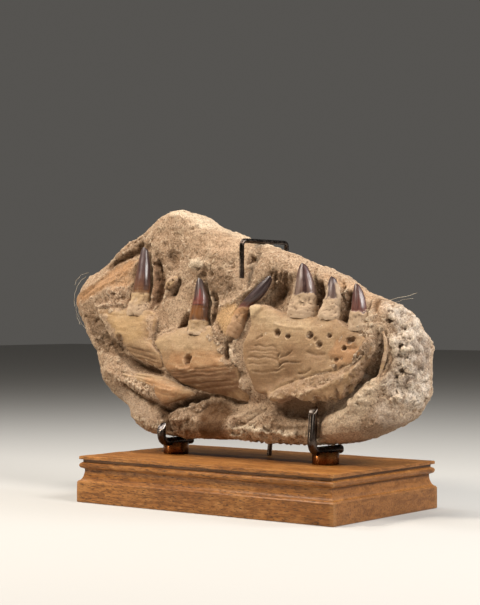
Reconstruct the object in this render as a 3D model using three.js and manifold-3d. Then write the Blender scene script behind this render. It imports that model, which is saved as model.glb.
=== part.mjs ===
// A fossil mosasaur jaw: broken jaw bones and six teeth on a slab of sandy matrix.
// The slab leans back on two steel hooks and a rear post, above a moulded wooden plinth.
// Millimetres, +Z up. The origin is the middle of the plinth's underside, and +X runs right along its
// front.

import * as THREE from 'three';
import { mergeVertices } from 'three/addons/utils/BufferGeometryUtils.js';
import Module from 'manifold-3d';

const wasm = await Module();
wasm.setup();

// Driving dimensions

const GAP = 0.3;

const PLINTH_WIDTH = 323.4;
const PLINTH_DEPTH = 184.2;
const PLINTH_HEIGHT = 48;
const BLOCK_HEIGHT = 21.6;
const COVE_TOP = 34.3;
const COVE_DEPTH = 5;
const COVE_FOOT_INSET = 0.8;
const BEAD_RADIUS = 3.3;
const TOP_BOARD = 3.6;
const TOP_BOARD_INSET = 1.5;
const GROOVE_INSET = 4.6;
const ARRIS = 0.7;

const FERRULE_DIAMETER = 27;
const FERRULE_HEIGHT = 12.5;
const SADDLE_DEPTH = 1.5;
const HOOK_ROD = 8;
const HOOK_ARM_Z = PLINTH_HEIGHT + FERRULE_HEIGHT - SADDLE_DEPTH + HOOK_ROD / 2;
const HOOK_BEND = 12;
const HOOK_FRONT = -30;
const HOOK_BACK = 17;
const HOOK_END_RADIUS = 2.4;
const TINE_LEAN = THREE.MathUtils.degToRad(4);
const RIGHT_HOOK = { x: 96.6, ferruleY: -9, tip: 106 };
const LEFT_HOOK = { x: -101.2, ferruleY: -4, tip: 85 };

const POST_ROD = 5;
const POST_X = -4.6;
const POST_SOCKET = 14;
const POST_TOP = 270.5;
const POST_BEND = 6;
const POST_TINE_Y = -14.6;
const POST_TINE_END = 232;

const SLAB_LEAN = THREE.MathUtils.degToRad(8);
const SLAB_FOOT = new THREE.Vector3(0, 32, 66);
const FACE_DEPTH = 60;
const ARM_BED = 1;
const RIM_ROUND = 18;
const BACK_ROUND = 13;
const SLAB_CENTRE = new THREE.Vector2(-26, 108);
const COLUMNS = 41;
const ROWS = 17;

// Places on the slab are [x, z]: x to the right and z up its face. A depth is measured forward from the
// slab's back.

const OUTLINE_BOTTOM = [
  [-229, 97], [-218, 82], [-210, 67], [-201, 53], [-189, 41], [-178, 29], [-164, 21], [-155, 8], [-138, -1],
  [-114, -6], [-72, -7], [-29, -7], [-10, -4], [12, -5], [56, -7], [84, -6], [105, -3], [134, 3], [158, 11],
  [181, 22],
];
const OUTLINE_RIGHT = [[181, 22], [195, 43], [198, 60], [196, 77], [194, 100], [187, 112], [178, 125]];
const OUTLINE_TOP = [
  [-217, 180], [-202, 191], [-188, 202], [-173, 211], [-158, 220], [-145, 229], [-131, 236.5], [-117, 239],
  [-107, 237.5], [-94, 232], [-80, 226], [-63, 219], [-46, 213], [-30, 208], [-5, 199.5], [8, 197], [26, 190],
  [48, 183], [71, 175], [94, 166], [120, 152], [138, 144], [163, 136], [178, 125],
];
const OUTLINE_LEFT = [[-229, 97], [-239, 114], [-252, 133], [-248, 153], [-238, 169], [-217, 180]];

// Mounds and hollows of the face: x, z, half width, half height, rise
const MOUNDS = [
  [200, 70, 42, 75, -9],
  [152, 96, 17, 15, 6],
  [190, 57, 10, 10, 6],
  [170, 128, 20, 12, 3],
  [143, 116, 15, 12, 5],
  [107, 127, 13, 13, 4],
  [75, 130, 24, 18, 5],
  [41, 143, 11, 17, -14],
  [22, 168, 40, 16, 2],
  [-14, 110, 22, 18, 4],
  [-52, 108, 24, 12, 3],
  [-98, 132, 20, 26, -3],
  [-133, 136, 20, 14, 4],
  [-190, 148, 34, 14, 3],
  [-204, 92, 24, 16, -5],
  [-150, 55, 40, 14, 3],
  [-150, 22, 30, 16, -3],
  [-50, 8, 27, 13, 7],
  [-16, 30, 50, 11, -15],
  [110, 20, 26, 14, 2],
  [-107, 184, 9, 9, -5],
  [-2, 179, 8, 8, -6],
  [176, 107, 8, 8, -4],
  [194, 96, 8, 7, -5],
  [180, 84, 8, 7, -4],
];

// Ridges and furrows of the face: rise, half width, then the places along it
const RIDGES = [
  [4, 8, [[-226, 137], [-205, 150], [-185, 161], [-164, 171]]],
  [-5, 8, [[-150, 196], [-171, 183], [-202, 168], [-218, 156]]],
  [5, 8, [[-180, 64], [-156, 52], [-133, 40], [-119, 33]]],
  [-6, 7, [[-166, 43], [-146, 36], [-120, 29]]],
  [6, 8, [[-14, 86], [-4, 68], [5, 50], [13, 38]]],
  [4, 8, [[-6, 2], [10, 6], [30, 15], [42, 21], [60, 14]]],
  [-14, 11, [[152, 68], [134, 51], [112, 38], [93, 30], [75, 25], [57, 22]]],
  [6, 9, [[170, 52], [156, 33], [133, 19], [114, 12]]],
  [-4, 7, [[184, 112], [190, 90], [186, 72], [180, 58]]],
  [4, 7, [[178, 96], [179, 80], [172, 62]]],
];

// Gouges with steep sides: half width, depth, then the places along it
const GOUGES = [
  [6, 9, [[-135, 196], [-126, 177], [-119, 157], [-120, 137], [-125, 124]]],
  [5, 8, [[-74, 126], [-82, 115], [-88, 104]]],
  [5.5, 11, [[90, 150], [93, 135], [90, 121]]],
  [5, 10, [[120, 148], [120, 134], [119, 122]]],
  [6, 9, [[159, 109], [163, 93], [162, 78], [154, 64], [138, 52]]],
  [7, 9, [[-196, 96], [-168, 82], [-146, 67], [-122, 59], [-104, 54]]],
  [6, 9, [[-118, 30], [-96, 21], [-72, 29], [-52, 36]]],
];

// Jaw plates: outline, the depth of the edge, the crown over it, and the depth of the buried underside
const LEFT_PLATE = {
  outline: [
    [-209, 127], [-193, 129], [-173, 130], [-148, 129], [-123, 124], [-118, 113], [-122, 102],
    [-122, 88], [-108, 79], [-106, 63], [-131, 70], [-147, 75], [-161, 85], [-164, 93], [-170, 91],
    [-186, 98], [-200, 114],
  ],
  centre: [-145, 101],
  edge: 63,
  crown: 4,
  under: 50,
};
const MIDDLE_PLATE = {
  outline: [
    [-121, 92], [-113, 101], [-95, 106], [-81, 109], [-59, 110], [-42, 109], [-31, 99], [-24, 88],
    [-24, 76], [-6, 70], [1, 54], [8, 39], [1, 33], [-27, 39], [-47, 41], [-66, 45], [-85, 51],
    [-99, 61], [-107, 71], [-109, 79],
  ],
  centre: [-55, 76],
  edge: 64,
  crown: 4,
  under: 45,
};
const RIGHT_PLATE = {
  outline: [
    [7, 130], [18, 132], [32, 128], [48, 123], [60, 123], [78, 122], [86, 118], [99, 123],
    [108, 121], [118, 115], [143, 104], [158, 94], [161, 89], [151, 79], [143, 71], [135, 64],
    [118, 56], [105, 49], [83, 42], [66, 39], [58, 34], [43, 33], [39, 41], [29, 41], [20, 42],
    [14, 55], [6, 70], [2, 82], [2, 94], [10, 110],
  ],
  centre: [78, 84],
  edge: 68,
  crown: 4,
  under: 55,
};
const LOWER_SPLINTER = {
  outline: [
    [-186, 63], [-173, 62], [-154, 59], [-132, 59], [-115, 57], [-100, 56], [-87, 50], [-72, 44], [-58, 40],
    [-74, 34], [-94, 28], [-103, 26], [-112, 32], [-119, 40], [-134, 47], [-154, 52], [-172, 57],
  ],
  centre: [-108, 45],
  edge: 61,
  crown: 5,
  under: 49,
};

// Relief on the bones: rise, half width, then the places along it
const PLATE_RELIEF = [
  [4.5, 7, [[44, 40], [60, 42], [76, 46], [98, 53], [116, 61], [130, 68], [143, 79]]],
  [-5, 9, [[24, 50], [44, 52], [60, 57], [74, 64]]],
  [-1.5, 4, [[60, 80], [80, 78], [100, 84]]],
  [-2, 5, [[-150, 80], [-130, 74], [-112, 70]]],
];

// Nerve openings in the bones: x, z, depth of the middle of the opening, radius
const FORAMINA = [
  [48, 102, 71.5, 3.6], [62, 99, 71.5, 2.6], [89, 100, 71.5, 3.2], [111, 100, 71.5, 3], [99, 91, 71.5, 3.4],
  [133, 95, 71, 3.4], [120, 76, 71, 2.8], [-68, 69, 67.5, 4.5],
];

// Teeth from tip to root: x, z, half width, and the depth of the front of the tooth
const TOOTH_STATIONS = [
  [
    [-146.4, 193.8, 1.8, 64], [-146.6, 190, 4.2, 65.2], [-146.5, 181, 6, 66.3], [-146.1, 170, 7.6, 67.6],
    [-145.8, 159, 9.2, 68.9], [-146.2, 150.5, 10.3, 69.4], [-146.4, 145, 11, 68.8], [-149, 133, 11.6, 67.6],
    [-150, 122, 12.6, 66.2],
  ],
  [
    [-66, 159.4, 1.6, 64.5], [-65.2, 155.3, 3.2, 65.6], [-63.4, 147, 5.9, 67.3], [-62.2, 140, 8, 68.6],
    [-62, 133, 9.3, 69.8], [-62.4, 125.5, 9.8, 70.4], [-63, 120, 10.6, 70.5], [-64, 112, 11.8, 69.8],
    [-64.5, 102, 13, 68.3],
  ],
  [
    [27.8, 160.2, 1.8, 65.2], [24.3, 155.3, 3.6, 66.8], [18.9, 149.1, 5.4, 68.3], [13.5, 143.1, 6.2, 69.2],
    [6.8, 137.4, 6.2, 69.2], [0, 131.5, 7.5, 68.2], [-8.5, 122.5, 12.5, 68.5], [-14.5, 113, 15.5, 69],
    [-19, 104.5, 12.5, 68], [-22.5, 96.5, 7, 65],
  ],
  [
    [67.1, 172.4, 1.8, 66], [67.1, 168.5, 4.6, 67.2], [67.3, 164, 6.6, 68], [68.3, 158, 8.4, 69.2],
    [69.2, 153, 9.8, 70.1], [70.2, 146, 11.4, 71.1], [70, 140, 12.8, 71.2], [68.2, 133.5, 14.6, 71],
    [67.5, 121, 16, 70.6],
  ],
  [
    [102.9, 158.6, 1.6, 64.5], [103, 155, 3.9, 65.4], [103.4, 150.4, 5.6, 66.3], [104.4, 144, 6.8, 67.6],
    [104.8, 139, 7.8, 68.3], [103.8, 133, 9, 69.2], [102.5, 119, 11.6, 69.4],
  ],
  [
    [132.9, 151, 1.6, 66.3], [133.9, 147.4, 3.4, 67.4], [134.9, 143.3, 4.9, 68.3], [136.1, 137, 6.5, 69.5],
    [137.4, 130.6, 7.4, 70.4], [138.2, 125.4, 8, 70.8], [137.2, 120.5, 10.4, 70.5], [137.5, 109, 12.6, 69],
  ],
];
const TOOTH_FLATTENING = 0.85;

// Small bones, in stations as the teeth have
const LOOSE_FRAGMENT = [
  [-114.5, 149.5, 1.6, 61], [-110, 152.5, 4.6, 64.5], [-104.5, 156, 5.6, 66], [-99.5, 159.5, 4, 65],
  [-97, 162, 1.6, 62.5],
];
const CURVED_RIB = [
  [166, 106, 0.9, 63], [170, 97, 1.9, 65], [171.5, 87, 2.3, 65], [169.5, 76, 2.4, 64.5], [165, 61, 2.1, 63],
  [158, 49.5, 1.6, 62], [150, 42, 0.9, 61],
];

// Materials

const wood = new THREE.MeshStandardMaterial({ color: 0x9a6a3c, roughness: 0.5, metalness: 0 });
const brass = new THREE.MeshStandardMaterial({ color: 0x9a6a28, roughness: 0.3, metalness: 1 });
const steel = new THREE.MeshStandardMaterial({ color: 0x2a2522, roughness: 0.35, metalness: 0.9 });
const sandstone = new THREE.MeshStandardMaterial({ color: 0xa48866, roughness: 0.95, metalness: 0 });
const bone = new THREE.MeshStandardMaterial({ color: 0xc2a070, roughness: 0.8, metalness: 0 });
const enamel = new THREE.MeshStandardMaterial({ color: 0x5a2f28, roughness: 0.25, metalness: 0 });

// Closed bodies

// Gathers loops of points into the faces of one closed body.
class Shell {
  positions = [];
  faces = [];

  vertex(x, y, z) {
    this.positions.push(x, y, z);
    return this.positions.length / 3 - 1;
  }

  loop(points) {
    return points.map((point) => this.vertex(point.x, point.y, point.z));
  }

  // Joins two loops with the same number of points.
  band(inner, outer) {
    const count = inner.length;
    for (let i = 0; i < count; i += 1) {
      const next = (i + 1) % count;
      this.faces.push(inner[i], outer[i], outer[next]);
      this.faces.push(inner[i], outer[next], inner[next]);
    }
  }

  // Joins a loop to one that has half as many points.
  halvingBand(inner, outer) {
    const count = outer.length;
    for (let i = 0; i < count; i += 1) {
      const next = (i + 1) % count;
      const first = 2 * i;
      const middle = first + 1;
      const last = (first + 2) % inner.length;
      this.faces.push(inner[first], outer[i], inner[middle]);
      this.faces.push(inner[middle], outer[i], outer[next]);
      this.faces.push(inner[middle], outer[next], inner[last]);
    }
  }

  // Closes a loop on one point. The first loop of a body is closed the other way round from the last.
  fan(loop, centre, first = false) {
    const tip = this.vertex(centre.x, centre.y, centre.z);
    for (let i = 0; i < loop.length; i += 1) {
      const next = (i + 1) % loop.length;
      if (first) this.faces.push(tip, loop[i], loop[next]);
      else this.faces.push(tip, loop[next], loop[i]);
    }
  }

  volume() {
    const [a, b, c] = [new THREE.Vector3(), new THREE.Vector3(), new THREE.Vector3()];
    let sum = 0;
    for (let i = 0; i < this.faces.length; i += 3) {
      a.fromArray(this.positions, 3 * this.faces[i]);
      b.fromArray(this.positions, 3 * this.faces[i + 1]);
      c.fromArray(this.positions, 3 * this.faces[i + 2]);
      sum += a.dot(b.cross(c)) / 6;
    }
    return sum;
  }

  geometry() {
    const facesOut = this.volume() > 0;
    const index = facesOut ? this.faces : this.faces.slice().reverse();
    const geometry = new THREE.BufferGeometry();
    geometry.setAttribute('position', new THREE.Float32BufferAttribute(this.positions, 3));
    geometry.setIndex(index);
    return geometry;
  }
}

function solidOf(geometry) {
  const bare = geometry.clone();
  bare.deleteAttribute('normal');
  bare.deleteAttribute('uv');
  const merged = mergeVertices(bare, 1e-4);
  const index = merged.index.array;
  const triangles = [];
  for (let i = 0; i < index.length; i += 3) {
    const [a, b, c] = [index[i], index[i + 1], index[i + 2]];
    if (a !== b && b !== c && c !== a) triangles.push(a, b, c);
  }
  const vertProperties = new Float32Array(merged.attributes.position.array);
  const triVerts = new Uint32Array(triangles);
  return new wasm.Manifold(new wasm.Mesh({ numProp: 3, vertProperties, triVerts }));
}

function geometryOf(solid) {
  const mesh = solid.getMesh();
  const geometry = new THREE.BufferGeometry();
  geometry.setAttribute('position', new THREE.BufferAttribute(new Float32Array(mesh.vertProperties), 3));
  geometry.setIndex(new THREE.BufferAttribute(new Uint32Array(mesh.triVerts), 1));
  return geometry;
}

// A body with oval rings round a path. Each station has a centre and two radii: across, and along the
// reference.
function loft(stations, sides, reference, tipSlant = 0) {
  const shell = new Shell();
  const rings = stations.map((station, i) => {
    const before = stations[Math.max(i - 1, 0)].centre;
    const after = stations[Math.min(i + 1, stations.length - 1)].centre;
    const tangent = after.clone().sub(before).normalize();
    const across = tangent.clone().cross(reference).normalize();
    const along = across.clone().cross(tangent);
    const slant = i === stations.length - 1 ? tipSlant : 0;
    const points = [];
    for (let k = 0; k < sides; k += 1) {
      const angle = (2 * Math.PI * k) / sides;
      const a = station.across * Math.cos(angle);
      const b = station.along * Math.sin(angle);
      const point = station.centre.clone().addScaledVector(across, a).addScaledVector(along, b);
      points.push(point.addScaledVector(tangent, slant * a));
    }
    return shell.loop(points);
  });
  for (let i = 0; i + 1 < rings.length; i += 1) shell.band(rings[i], rings[i + 1]);
  shell.fan(rings[0], stations[0].centre, true);
  shell.fan(rings[rings.length - 1], stations[stations.length - 1].centre);
  return shell.geometry();
}

// Stand

function rectangle(inset, z) {
  const x = PLINTH_WIDTH / 2 - inset;
  const y = PLINTH_DEPTH / 2 - inset;
  return [[-x, -y], [x, -y], [x, y], [-x, y]].map(([px, py]) => new THREE.Vector3(px, py, z));
}

// The moulded edge, from the top face down: the inset from the lower block's sides, and the height.
function plinthProfile() {
  const beadMiddle = COVE_TOP + BEAD_RADIUS + ARRIS;
  const profile = [
    [TOP_BOARD_INSET + ARRIS, PLINTH_HEIGHT],
    [TOP_BOARD_INSET, PLINTH_HEIGHT - ARRIS],
    [TOP_BOARD_INSET, PLINTH_HEIGHT - TOP_BOARD],
    [GROOVE_INSET, PLINTH_HEIGHT - TOP_BOARD - ARRIS / 2],
    [GROOVE_INSET, beadMiddle + BEAD_RADIUS],
  ];
  for (const degrees of [65, 40, 15, -10, -35, -60, -85]) {
    const angle = THREE.MathUtils.degToRad(degrees);
    const inset = TOP_BOARD_INSET + BEAD_RADIUS * (1 - Math.cos(angle));
    profile.push([inset, beadMiddle + BEAD_RADIUS * Math.sin(angle)]);
  }
  const coveHeight = COVE_TOP - BLOCK_HEIGHT - 1.5 * ARRIS;
  for (const degrees of [0, 22, 44, 66, 88]) {
    const angle = THREE.MathUtils.degToRad(degrees);
    const inset = COVE_FOOT_INSET + COVE_DEPTH * Math.cos(angle);
    profile.push([inset, COVE_TOP - coveHeight * Math.sin(angle)]);
  }
  profile.push([0, BLOCK_HEIGHT], [0, ARRIS], [ARRIS, 0]);
  return profile;
}

function plinthGeometry() {
  const shell = new Shell();
  const loops = plinthProfile().map(([inset, z]) => shell.loop(rectangle(inset, z)));
  for (let i = 0; i + 1 < loops.length; i += 1) shell.band(loops[i], loops[i + 1]);
  shell.fan(loops[0], new THREE.Vector3(0, 0, PLINTH_HEIGHT), true);
  shell.fan(loops[loops.length - 1], new THREE.Vector3(0, 0, 0));
  return shell.geometry();
}

function ferruleGeometry() {
  const radius = FERRULE_DIAMETER / 2;
  const profile = [
    [0, 0], [radius, 0], [radius, FERRULE_HEIGHT - ARRIS], [radius - ARRIS, FERRULE_HEIGHT],
    [0, FERRULE_HEIGHT],
  ];
  const geometry = new THREE.LatheGeometry(profile.map(([r, h]) => new THREE.Vector2(r, h)), 20);
  return geometry.rotateX(Math.PI / 2);
}

// Rounds the corners of a route of straight runs.
function bentRoute(corners, bend, steps) {
  const points = [corners[0]];
  for (let i = 1; i + 1 < corners.length; i += 1) {
    const back = corners[i - 1].clone().sub(corners[i]).setLength(bend);
    const ahead = corners[i + 1].clone().sub(corners[i]).setLength(bend);
    const start = corners[i].clone().add(back);
    const end = corners[i].clone().add(ahead);
    points.push(...new THREE.QuadraticBezierCurve3(start, corners[i], end).getPoints(steps));
  }
  points.push(corners[corners.length - 1]);
  return points;
}

const ACROSS_THE_STAND = new THREE.Vector3(1, 0, 0);

function hookGeometry({ x, tip }, grow = 0) {
  const tineTop = HOOK_FRONT + (tip - HOOK_ARM_Z) * Math.tan(TINE_LEAN);
  const corners = [
    new THREE.Vector3(x, HOOK_BACK, HOOK_ARM_Z),
    new THREE.Vector3(x, HOOK_FRONT, HOOK_ARM_Z),
    new THREE.Vector3(x, tineTop, tip - HOOK_ROD / 2),
  ];
  const route = bentRoute(corners, HOOK_BEND, 4);
  const radius = HOOK_ROD / 2 + grow;
  const stations = route.map((centre) => ({ centre, across: radius, along: radius }));
  const roundedEnd = {
    centre: new THREE.Vector3(x, HOOK_BACK + HOOK_ROD / 2 - HOOK_END_RADIUS, HOOK_ARM_Z),
    across: HOOK_END_RADIUS,
    along: HOOK_END_RADIUS,
  };
  return loft([roundedEnd, ...stations], 10, ACROSS_THE_STAND, 1);
}

function postGeometry(grow = 0) {
  const lean = new THREE.Vector3(0, Math.sin(SLAB_LEAN), Math.cos(SLAB_LEAN));
  const foot = new THREE.Vector3(POST_X, SLAB_FOOT.y, PLINTH_HEIGHT);
  const height = (POST_TOP - PLINTH_HEIGHT) / lean.z;
  const top = foot.clone().addScaledVector(lean, height);
  const corners = [
    foot.clone().addScaledVector(lean, -POST_SOCKET),
    top,
    new THREE.Vector3(POST_X, POST_TINE_Y, POST_TOP),
    new THREE.Vector3(POST_X, POST_TINE_Y, POST_TINE_END),
  ];
  const route = bentRoute(corners, POST_BEND, 3);
  const radius = POST_ROD / 2 + grow;
  const stations = route.map((centre) => ({ centre, across: radius, along: radius }));
  return loft(stations, 8, ACROSS_THE_STAND);
}

// Slab and bones

function hash(i, j) {
  const s = Math.sin(i * 127.1 + j * 311.7) * 43758.5453;
  return s - Math.floor(s);
}

// Smooth noise between -1 and 1, with lumps about one unit across.
function noise(x, z) {
  const [i, j] = [Math.floor(x), Math.floor(z)];
  const u = THREE.MathUtils.smoothstep(x - i, 0, 1);
  const v = THREE.MathUtils.smoothstep(z - j, 0, 1);
  const low = THREE.MathUtils.lerp(hash(i, j), hash(i + 1, j), u);
  const high = THREE.MathUtils.lerp(hash(i, j + 1), hash(i + 1, j + 1), u);
  return 2 * THREE.MathUtils.lerp(low, high, v) - 1;
}

function distanceToLine(x, z, points) {
  let nearest = Infinity;
  for (let i = 0; i + 1 < points.length; i += 1) {
    const [ax, az] = points[i];
    const [bx, bz] = points[i + 1];
    const [dx, dz] = [bx - ax, bz - az];
    const t = THREE.MathUtils.clamp(((x - ax) * dx + (z - az) * dz) / (dx * dx + dz * dz), 0, 1);
    nearest = Math.min(nearest, Math.hypot(x - ax - t * dx, z - az - t * dz));
  }
  return nearest;
}

function reliefOf(ridges, x, z) {
  return ridges.reduce((sum, [rise, halfWidth, points]) => {
    const away = distanceToLine(x, z, points) / halfWidth;
    return sum + rise * Math.exp(-away * away);
  }, 0);
}

// Depth of the matrix face at a place.
function faceDepth(x, z) {
  let depth = FACE_DEPTH + reliefOf(RIDGES, x, z);
  for (const [mx, mz, halfWidth, halfHeight, rise] of MOUNDS) {
    const across = (x - mx) / halfWidth;
    const up = (z - mz) / halfHeight;
    depth += rise * Math.exp(-across * across - up * up);
  }
  const coarse = THREE.MathUtils.smoothstep(x, 130, 180) + THREE.MathUtils.smoothstep(-z, -30, -5);
  return depth + 1.8 * noise(x / 26, z / 26) + (1 + 2.4 * coarse) * noise(x / 13 + 40, z / 13);
}

// The closed outline, counter-clockwise from the front, with COLUMNS steps along the bottom and the top.
function outlineLoop() {
  const side = (points, steps) => {
    const curve = new THREE.SplineCurve(points.map(([x, z]) => new THREE.Vector2(x, z)));
    return curve.getSpacedPoints(steps);
  };
  const bottom = side(OUTLINE_BOTTOM, COLUMNS);
  const right = side(OUTLINE_RIGHT, ROWS);
  const top = side(OUTLINE_TOP, COLUMNS).reverse();
  const left = side(OUTLINE_LEFT, ROWS).reverse();
  return [bottom, right, top, left].flatMap((points) => points.slice(0, -1));
}

function outwardNormals(loop) {
  return loop.map((point, i) => {
    const before = loop[(i + loop.length - 1) % loop.length];
    const after = loop[(i + 1) % loop.length];
    return new THREE.Vector2(after.y - before.y, before.x - after.x).normalize();
  });
}

// Fills a four-sided loop with a grid that follows its sides.
function filledGrid(loop) {
  const bottom = (i) => loop[i];
  const right = (j) => loop[COLUMNS + j];
  const top = (i) => loop[2 * COLUMNS + ROWS - i];
  const left = (j) => loop[(2 * COLUMNS + 2 * ROWS - j) % loop.length];
  const grid = [];
  for (let i = 0; i <= COLUMNS; i += 1) {
    const u = i / COLUMNS;
    const column = [];
    for (let j = 0; j <= ROWS; j += 1) {
      const v = j / ROWS;
      const point = new THREE.Vector2();
      point.addScaledVector(bottom(i), 1 - v).addScaledVector(top(i), v);
      point.addScaledVector(left(j), 1 - u).addScaledVector(right(j), u);
      point.addScaledVector(bottom(0), -(1 - u) * (1 - v)).addScaledVector(bottom(COLUMNS), -u * (1 - v));
      point.addScaledVector(top(0), -(1 - u) * v).addScaledVector(top(COLUMNS), -u * v);
      column.push(point);
    }
    grid.push(column);
  }
  return grid;
}

// The underside is level where it rests, though the slab leans. The hook arms bed into it a little.
function levelUnderside(depth) {
  const restZ = HOOK_ARM_Z + HOOK_ROD / 2 - ARM_BED;
  return (restZ - SLAB_FOOT.z - depth * Math.sin(SLAB_LEAN)) / Math.cos(SLAB_LEAN);
}

function matrixGeometry() {
  const outline = outlineLoop();
  const normals = outwardNormals(outline);
  const faceLoop = outline.map((point, i) => point.clone().addScaledVector(normals[i], -RIM_ROUND));
  const shell = new Shell();

  const grid = filledGrid(faceLoop);
  const vertices = grid.map((column) => column.map(({ x, y }) => shell.vertex(x, -faceDepth(x, y), y)));
  for (let i = 0; i < COLUMNS; i += 1) {
    for (let j = 0; j < ROWS; j += 1) {
      const [a, b] = [vertices[i][j], vertices[i + 1][j]];
      const [c, d] = [vertices[i + 1][j + 1], vertices[i][j + 1]];
      if ((i + j) % 2 === 0) shell.faces.push(a, b, c, a, c, d);
      else shell.faces.push(a, b, d, b, c, d);
    }
  }

  let previous = [
    ...vertices.slice(0, COLUMNS).map((column) => column[0]),
    ...vertices[COLUMNS].slice(0, ROWS),
    ...vertices.slice(1).reverse().map((column) => column[ROWS]),
    ...vertices[0].slice(1).reverse(),
  ];
  const rimRing = (inset, depthOf) => shell.loop(outline.map((point, i) => {
    const face = faceDepth(faceLoop[i].x, faceLoop[i].y);
    const depth = depthOf(face);
    const lump = 1.8 * noise(point.x / 19 + depth / 15, point.y / 19 - depth / 11);
    const place = point.clone().addScaledVector(normals[i], lump - inset);
    return new THREE.Vector3(place.x, -depth, Math.max(place.y, levelUnderside(depth)));
  }));
  const rimSteps = [30, 60, 90].map((degrees) => {
    const angle = THREE.MathUtils.degToRad(degrees);
    const drop = RIM_ROUND * (1 - Math.cos(angle));
    return [RIM_ROUND * (1 - Math.sin(angle)), (face) => face - drop];
  });
  rimSteps.push([0.15 * BACK_ROUND, () => BACK_ROUND], [BACK_ROUND, () => 1]);
  for (const [inset, depthOf] of rimSteps) {
    const ring = rimRing(inset, depthOf);
    shell.band(previous, ring);
    previous = ring;
  }

  let points = outline.map((point, i) => point.clone().addScaledVector(normals[i], -BACK_ROUND));
  for (const scale of [0.64, 0.3]) {
    points = points.filter((point, i) => i % 2 === 0);
    const ring = shell.loop(points.map((point) => {
      const place = SLAB_CENTRE.clone().lerp(point, scale);
      const lump = 2 * (1 + noise(place.x / 40, place.y / 40));
      return new THREE.Vector3(place.x, -(0.4 + lump), place.y);
    }));
    shell.halvingBand(previous, ring);
    previous = ring;
  }
  shell.fan(previous, new THREE.Vector3(SLAB_CENTRE.x, -1, SLAB_CENTRE.y));
  return shell.geometry();
}

// A bone plate: crowned in front, with steep sides that run down to its buried underside.
function plateGeometry({ outline, centre, edge, crown, under }, frontDepth, steps, grow = 0) {
  const curve = new THREE.SplineCurve([...outline, outline[0]].map(([x, z]) => new THREE.Vector2(x, z)));
  const loop = curve.getSpacedPoints(steps).slice(0, -1);
  const normals = outwardNormals(loop);
  const turn = THREE.ShapeUtils.isClockWise(loop) ? -1 : 1;
  const middle = new THREE.Vector2(...centre);
  const shell = new Shell();
  const ring = (scale, depthOf) => shell.loop(loop.map((point, i) => {
    const wide = point.clone().addScaledVector(normals[i], turn * grow);
    const place = middle.clone().lerp(wide, scale);
    return new THREE.Vector3(place.x, -depthOf(place.x, place.y), place.y);
  }));
  const front = (scale) => (x, z) => frontDepth(x, z) + edge + crown * (1 - scale ** 3) + grow;
  const rings = [ring(1, () => under - grow), ring(1, (x, z) => front(1)(x, z) - 1.5)];
  for (const scale of [0.95, 0.76, 0.5, 0.25]) rings.push(ring(scale, front(scale)));
  for (let i = 0; i + 1 < rings.length; i += 1) shell.band(rings[i], rings[i + 1]);
  shell.fan(rings[0], new THREE.Vector3(middle.x, -(under - grow), middle.y), true);
  const peak = front(0)(middle.x, middle.y);
  shell.fan(rings[rings.length - 1], new THREE.Vector3(middle.x, -peak, middle.y));
  return shell.geometry();
}

const OUT_OF_THE_SLAB = new THREE.Vector3(0, -1, 0);

// A tooth or slim bone from its list of stations.
function boneGeometry(stations, sides, grow = 0) {
  return loft(stations.map(([x, z, halfWidth, front]) => {
    const deep = halfWidth * TOOTH_FLATTENING;
    return {
      centre: new THREE.Vector3(x, deep - front, z),
      across: halfWidth + grow,
      along: deep + grow,
    };
  }), sides, OUT_OF_THE_SLAB);
}

// A body that cuts a steep gouge into the face.
function gougeGeometry([halfWidth, depth, points]) {
  const last = points.length - 1;
  return loft(points.map(([x, z], i) => {
    const taper = i === 0 || i === last ? 0.35 : 1;
    return {
      centre: new THREE.Vector3(x, -faceDepth(x, z) - 1, z),
      across: halfWidth * taper,
      along: (depth + 1) * taper,
    };
  }), 6, OUT_OF_THE_SLAB);
}

function foramenGeometry([x, z, depth, radius]) {
  return new THREE.SphereGeometry(radius, 6, 4).translate(x, -depth, z);
}

// Relief of each plate over its crowned front.
const leftRelief = (x, z) => reliefOf(PLATE_RELIEF, x, z) + 0.5 * noise(x / 11, z / 6);
const middleRelief = (x, z) => {
  const below = Math.max(68 - z, 0) / 30;
  return 0.5 * noise(x / 11, z / 6) - 11 * below * below;
};
const rightRelief = (x, z) => reliefOf(PLATE_RELIEF, x, z) + 0.6 * noise(x / 10, z / 7);
const splinterRelief = (x, z) => 0.6 * noise(x / 14, z / 6) - Math.max(x + 90, 0) * 0.12;

// Assembly

const slab = new THREE.Group();
slab.position.copy(SLAB_FOOT);
slab.rotation.x = -SLAB_LEAN;
slab.updateMatrixWorld(true);

const inSlab = (geometry) => geometry.clone().applyMatrix4(slab.matrixWorld.clone().invert());
const cut = (solid, tools) => tools.reduce((rest, tool) => rest.subtract(tool), solid);
const grown = (build) => solidOf(build(GAP));

const plate = (shape, relief, steps) => (grow = 0) => plateGeometry(shape, relief, steps, grow);
const leftPlate = plate(LEFT_PLATE, leftRelief, 30);
const middlePlate = plate(MIDDLE_PLATE, middleRelief, 34);
const rightPlate = plate(RIGHT_PLATE, rightRelief, 42);
const splinter = plate(LOWER_SPLINTER, splinterRelief, 26);
const teeth = TOOTH_STATIONS.map((stations) => (grow = 0) => boneGeometry(stations, 10, grow));
const fragment = (grow = 0) => boneGeometry(LOOSE_FRAGMENT, 7, grow);
const rib = (grow = 0) => boneGeometry(CURVED_RIB, 6, grow);

const holderTools = [
  (grow) => inSlab(hookGeometry(LEFT_HOOK, grow)),
  (grow) => inSlab(hookGeometry(RIGHT_HOOK, grow)),
  (grow) => inSlab(postGeometry(grow)),
].map(grown);
const foramina = FORAMINA.map((place) => solidOf(foramenGeometry(place)));

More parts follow.
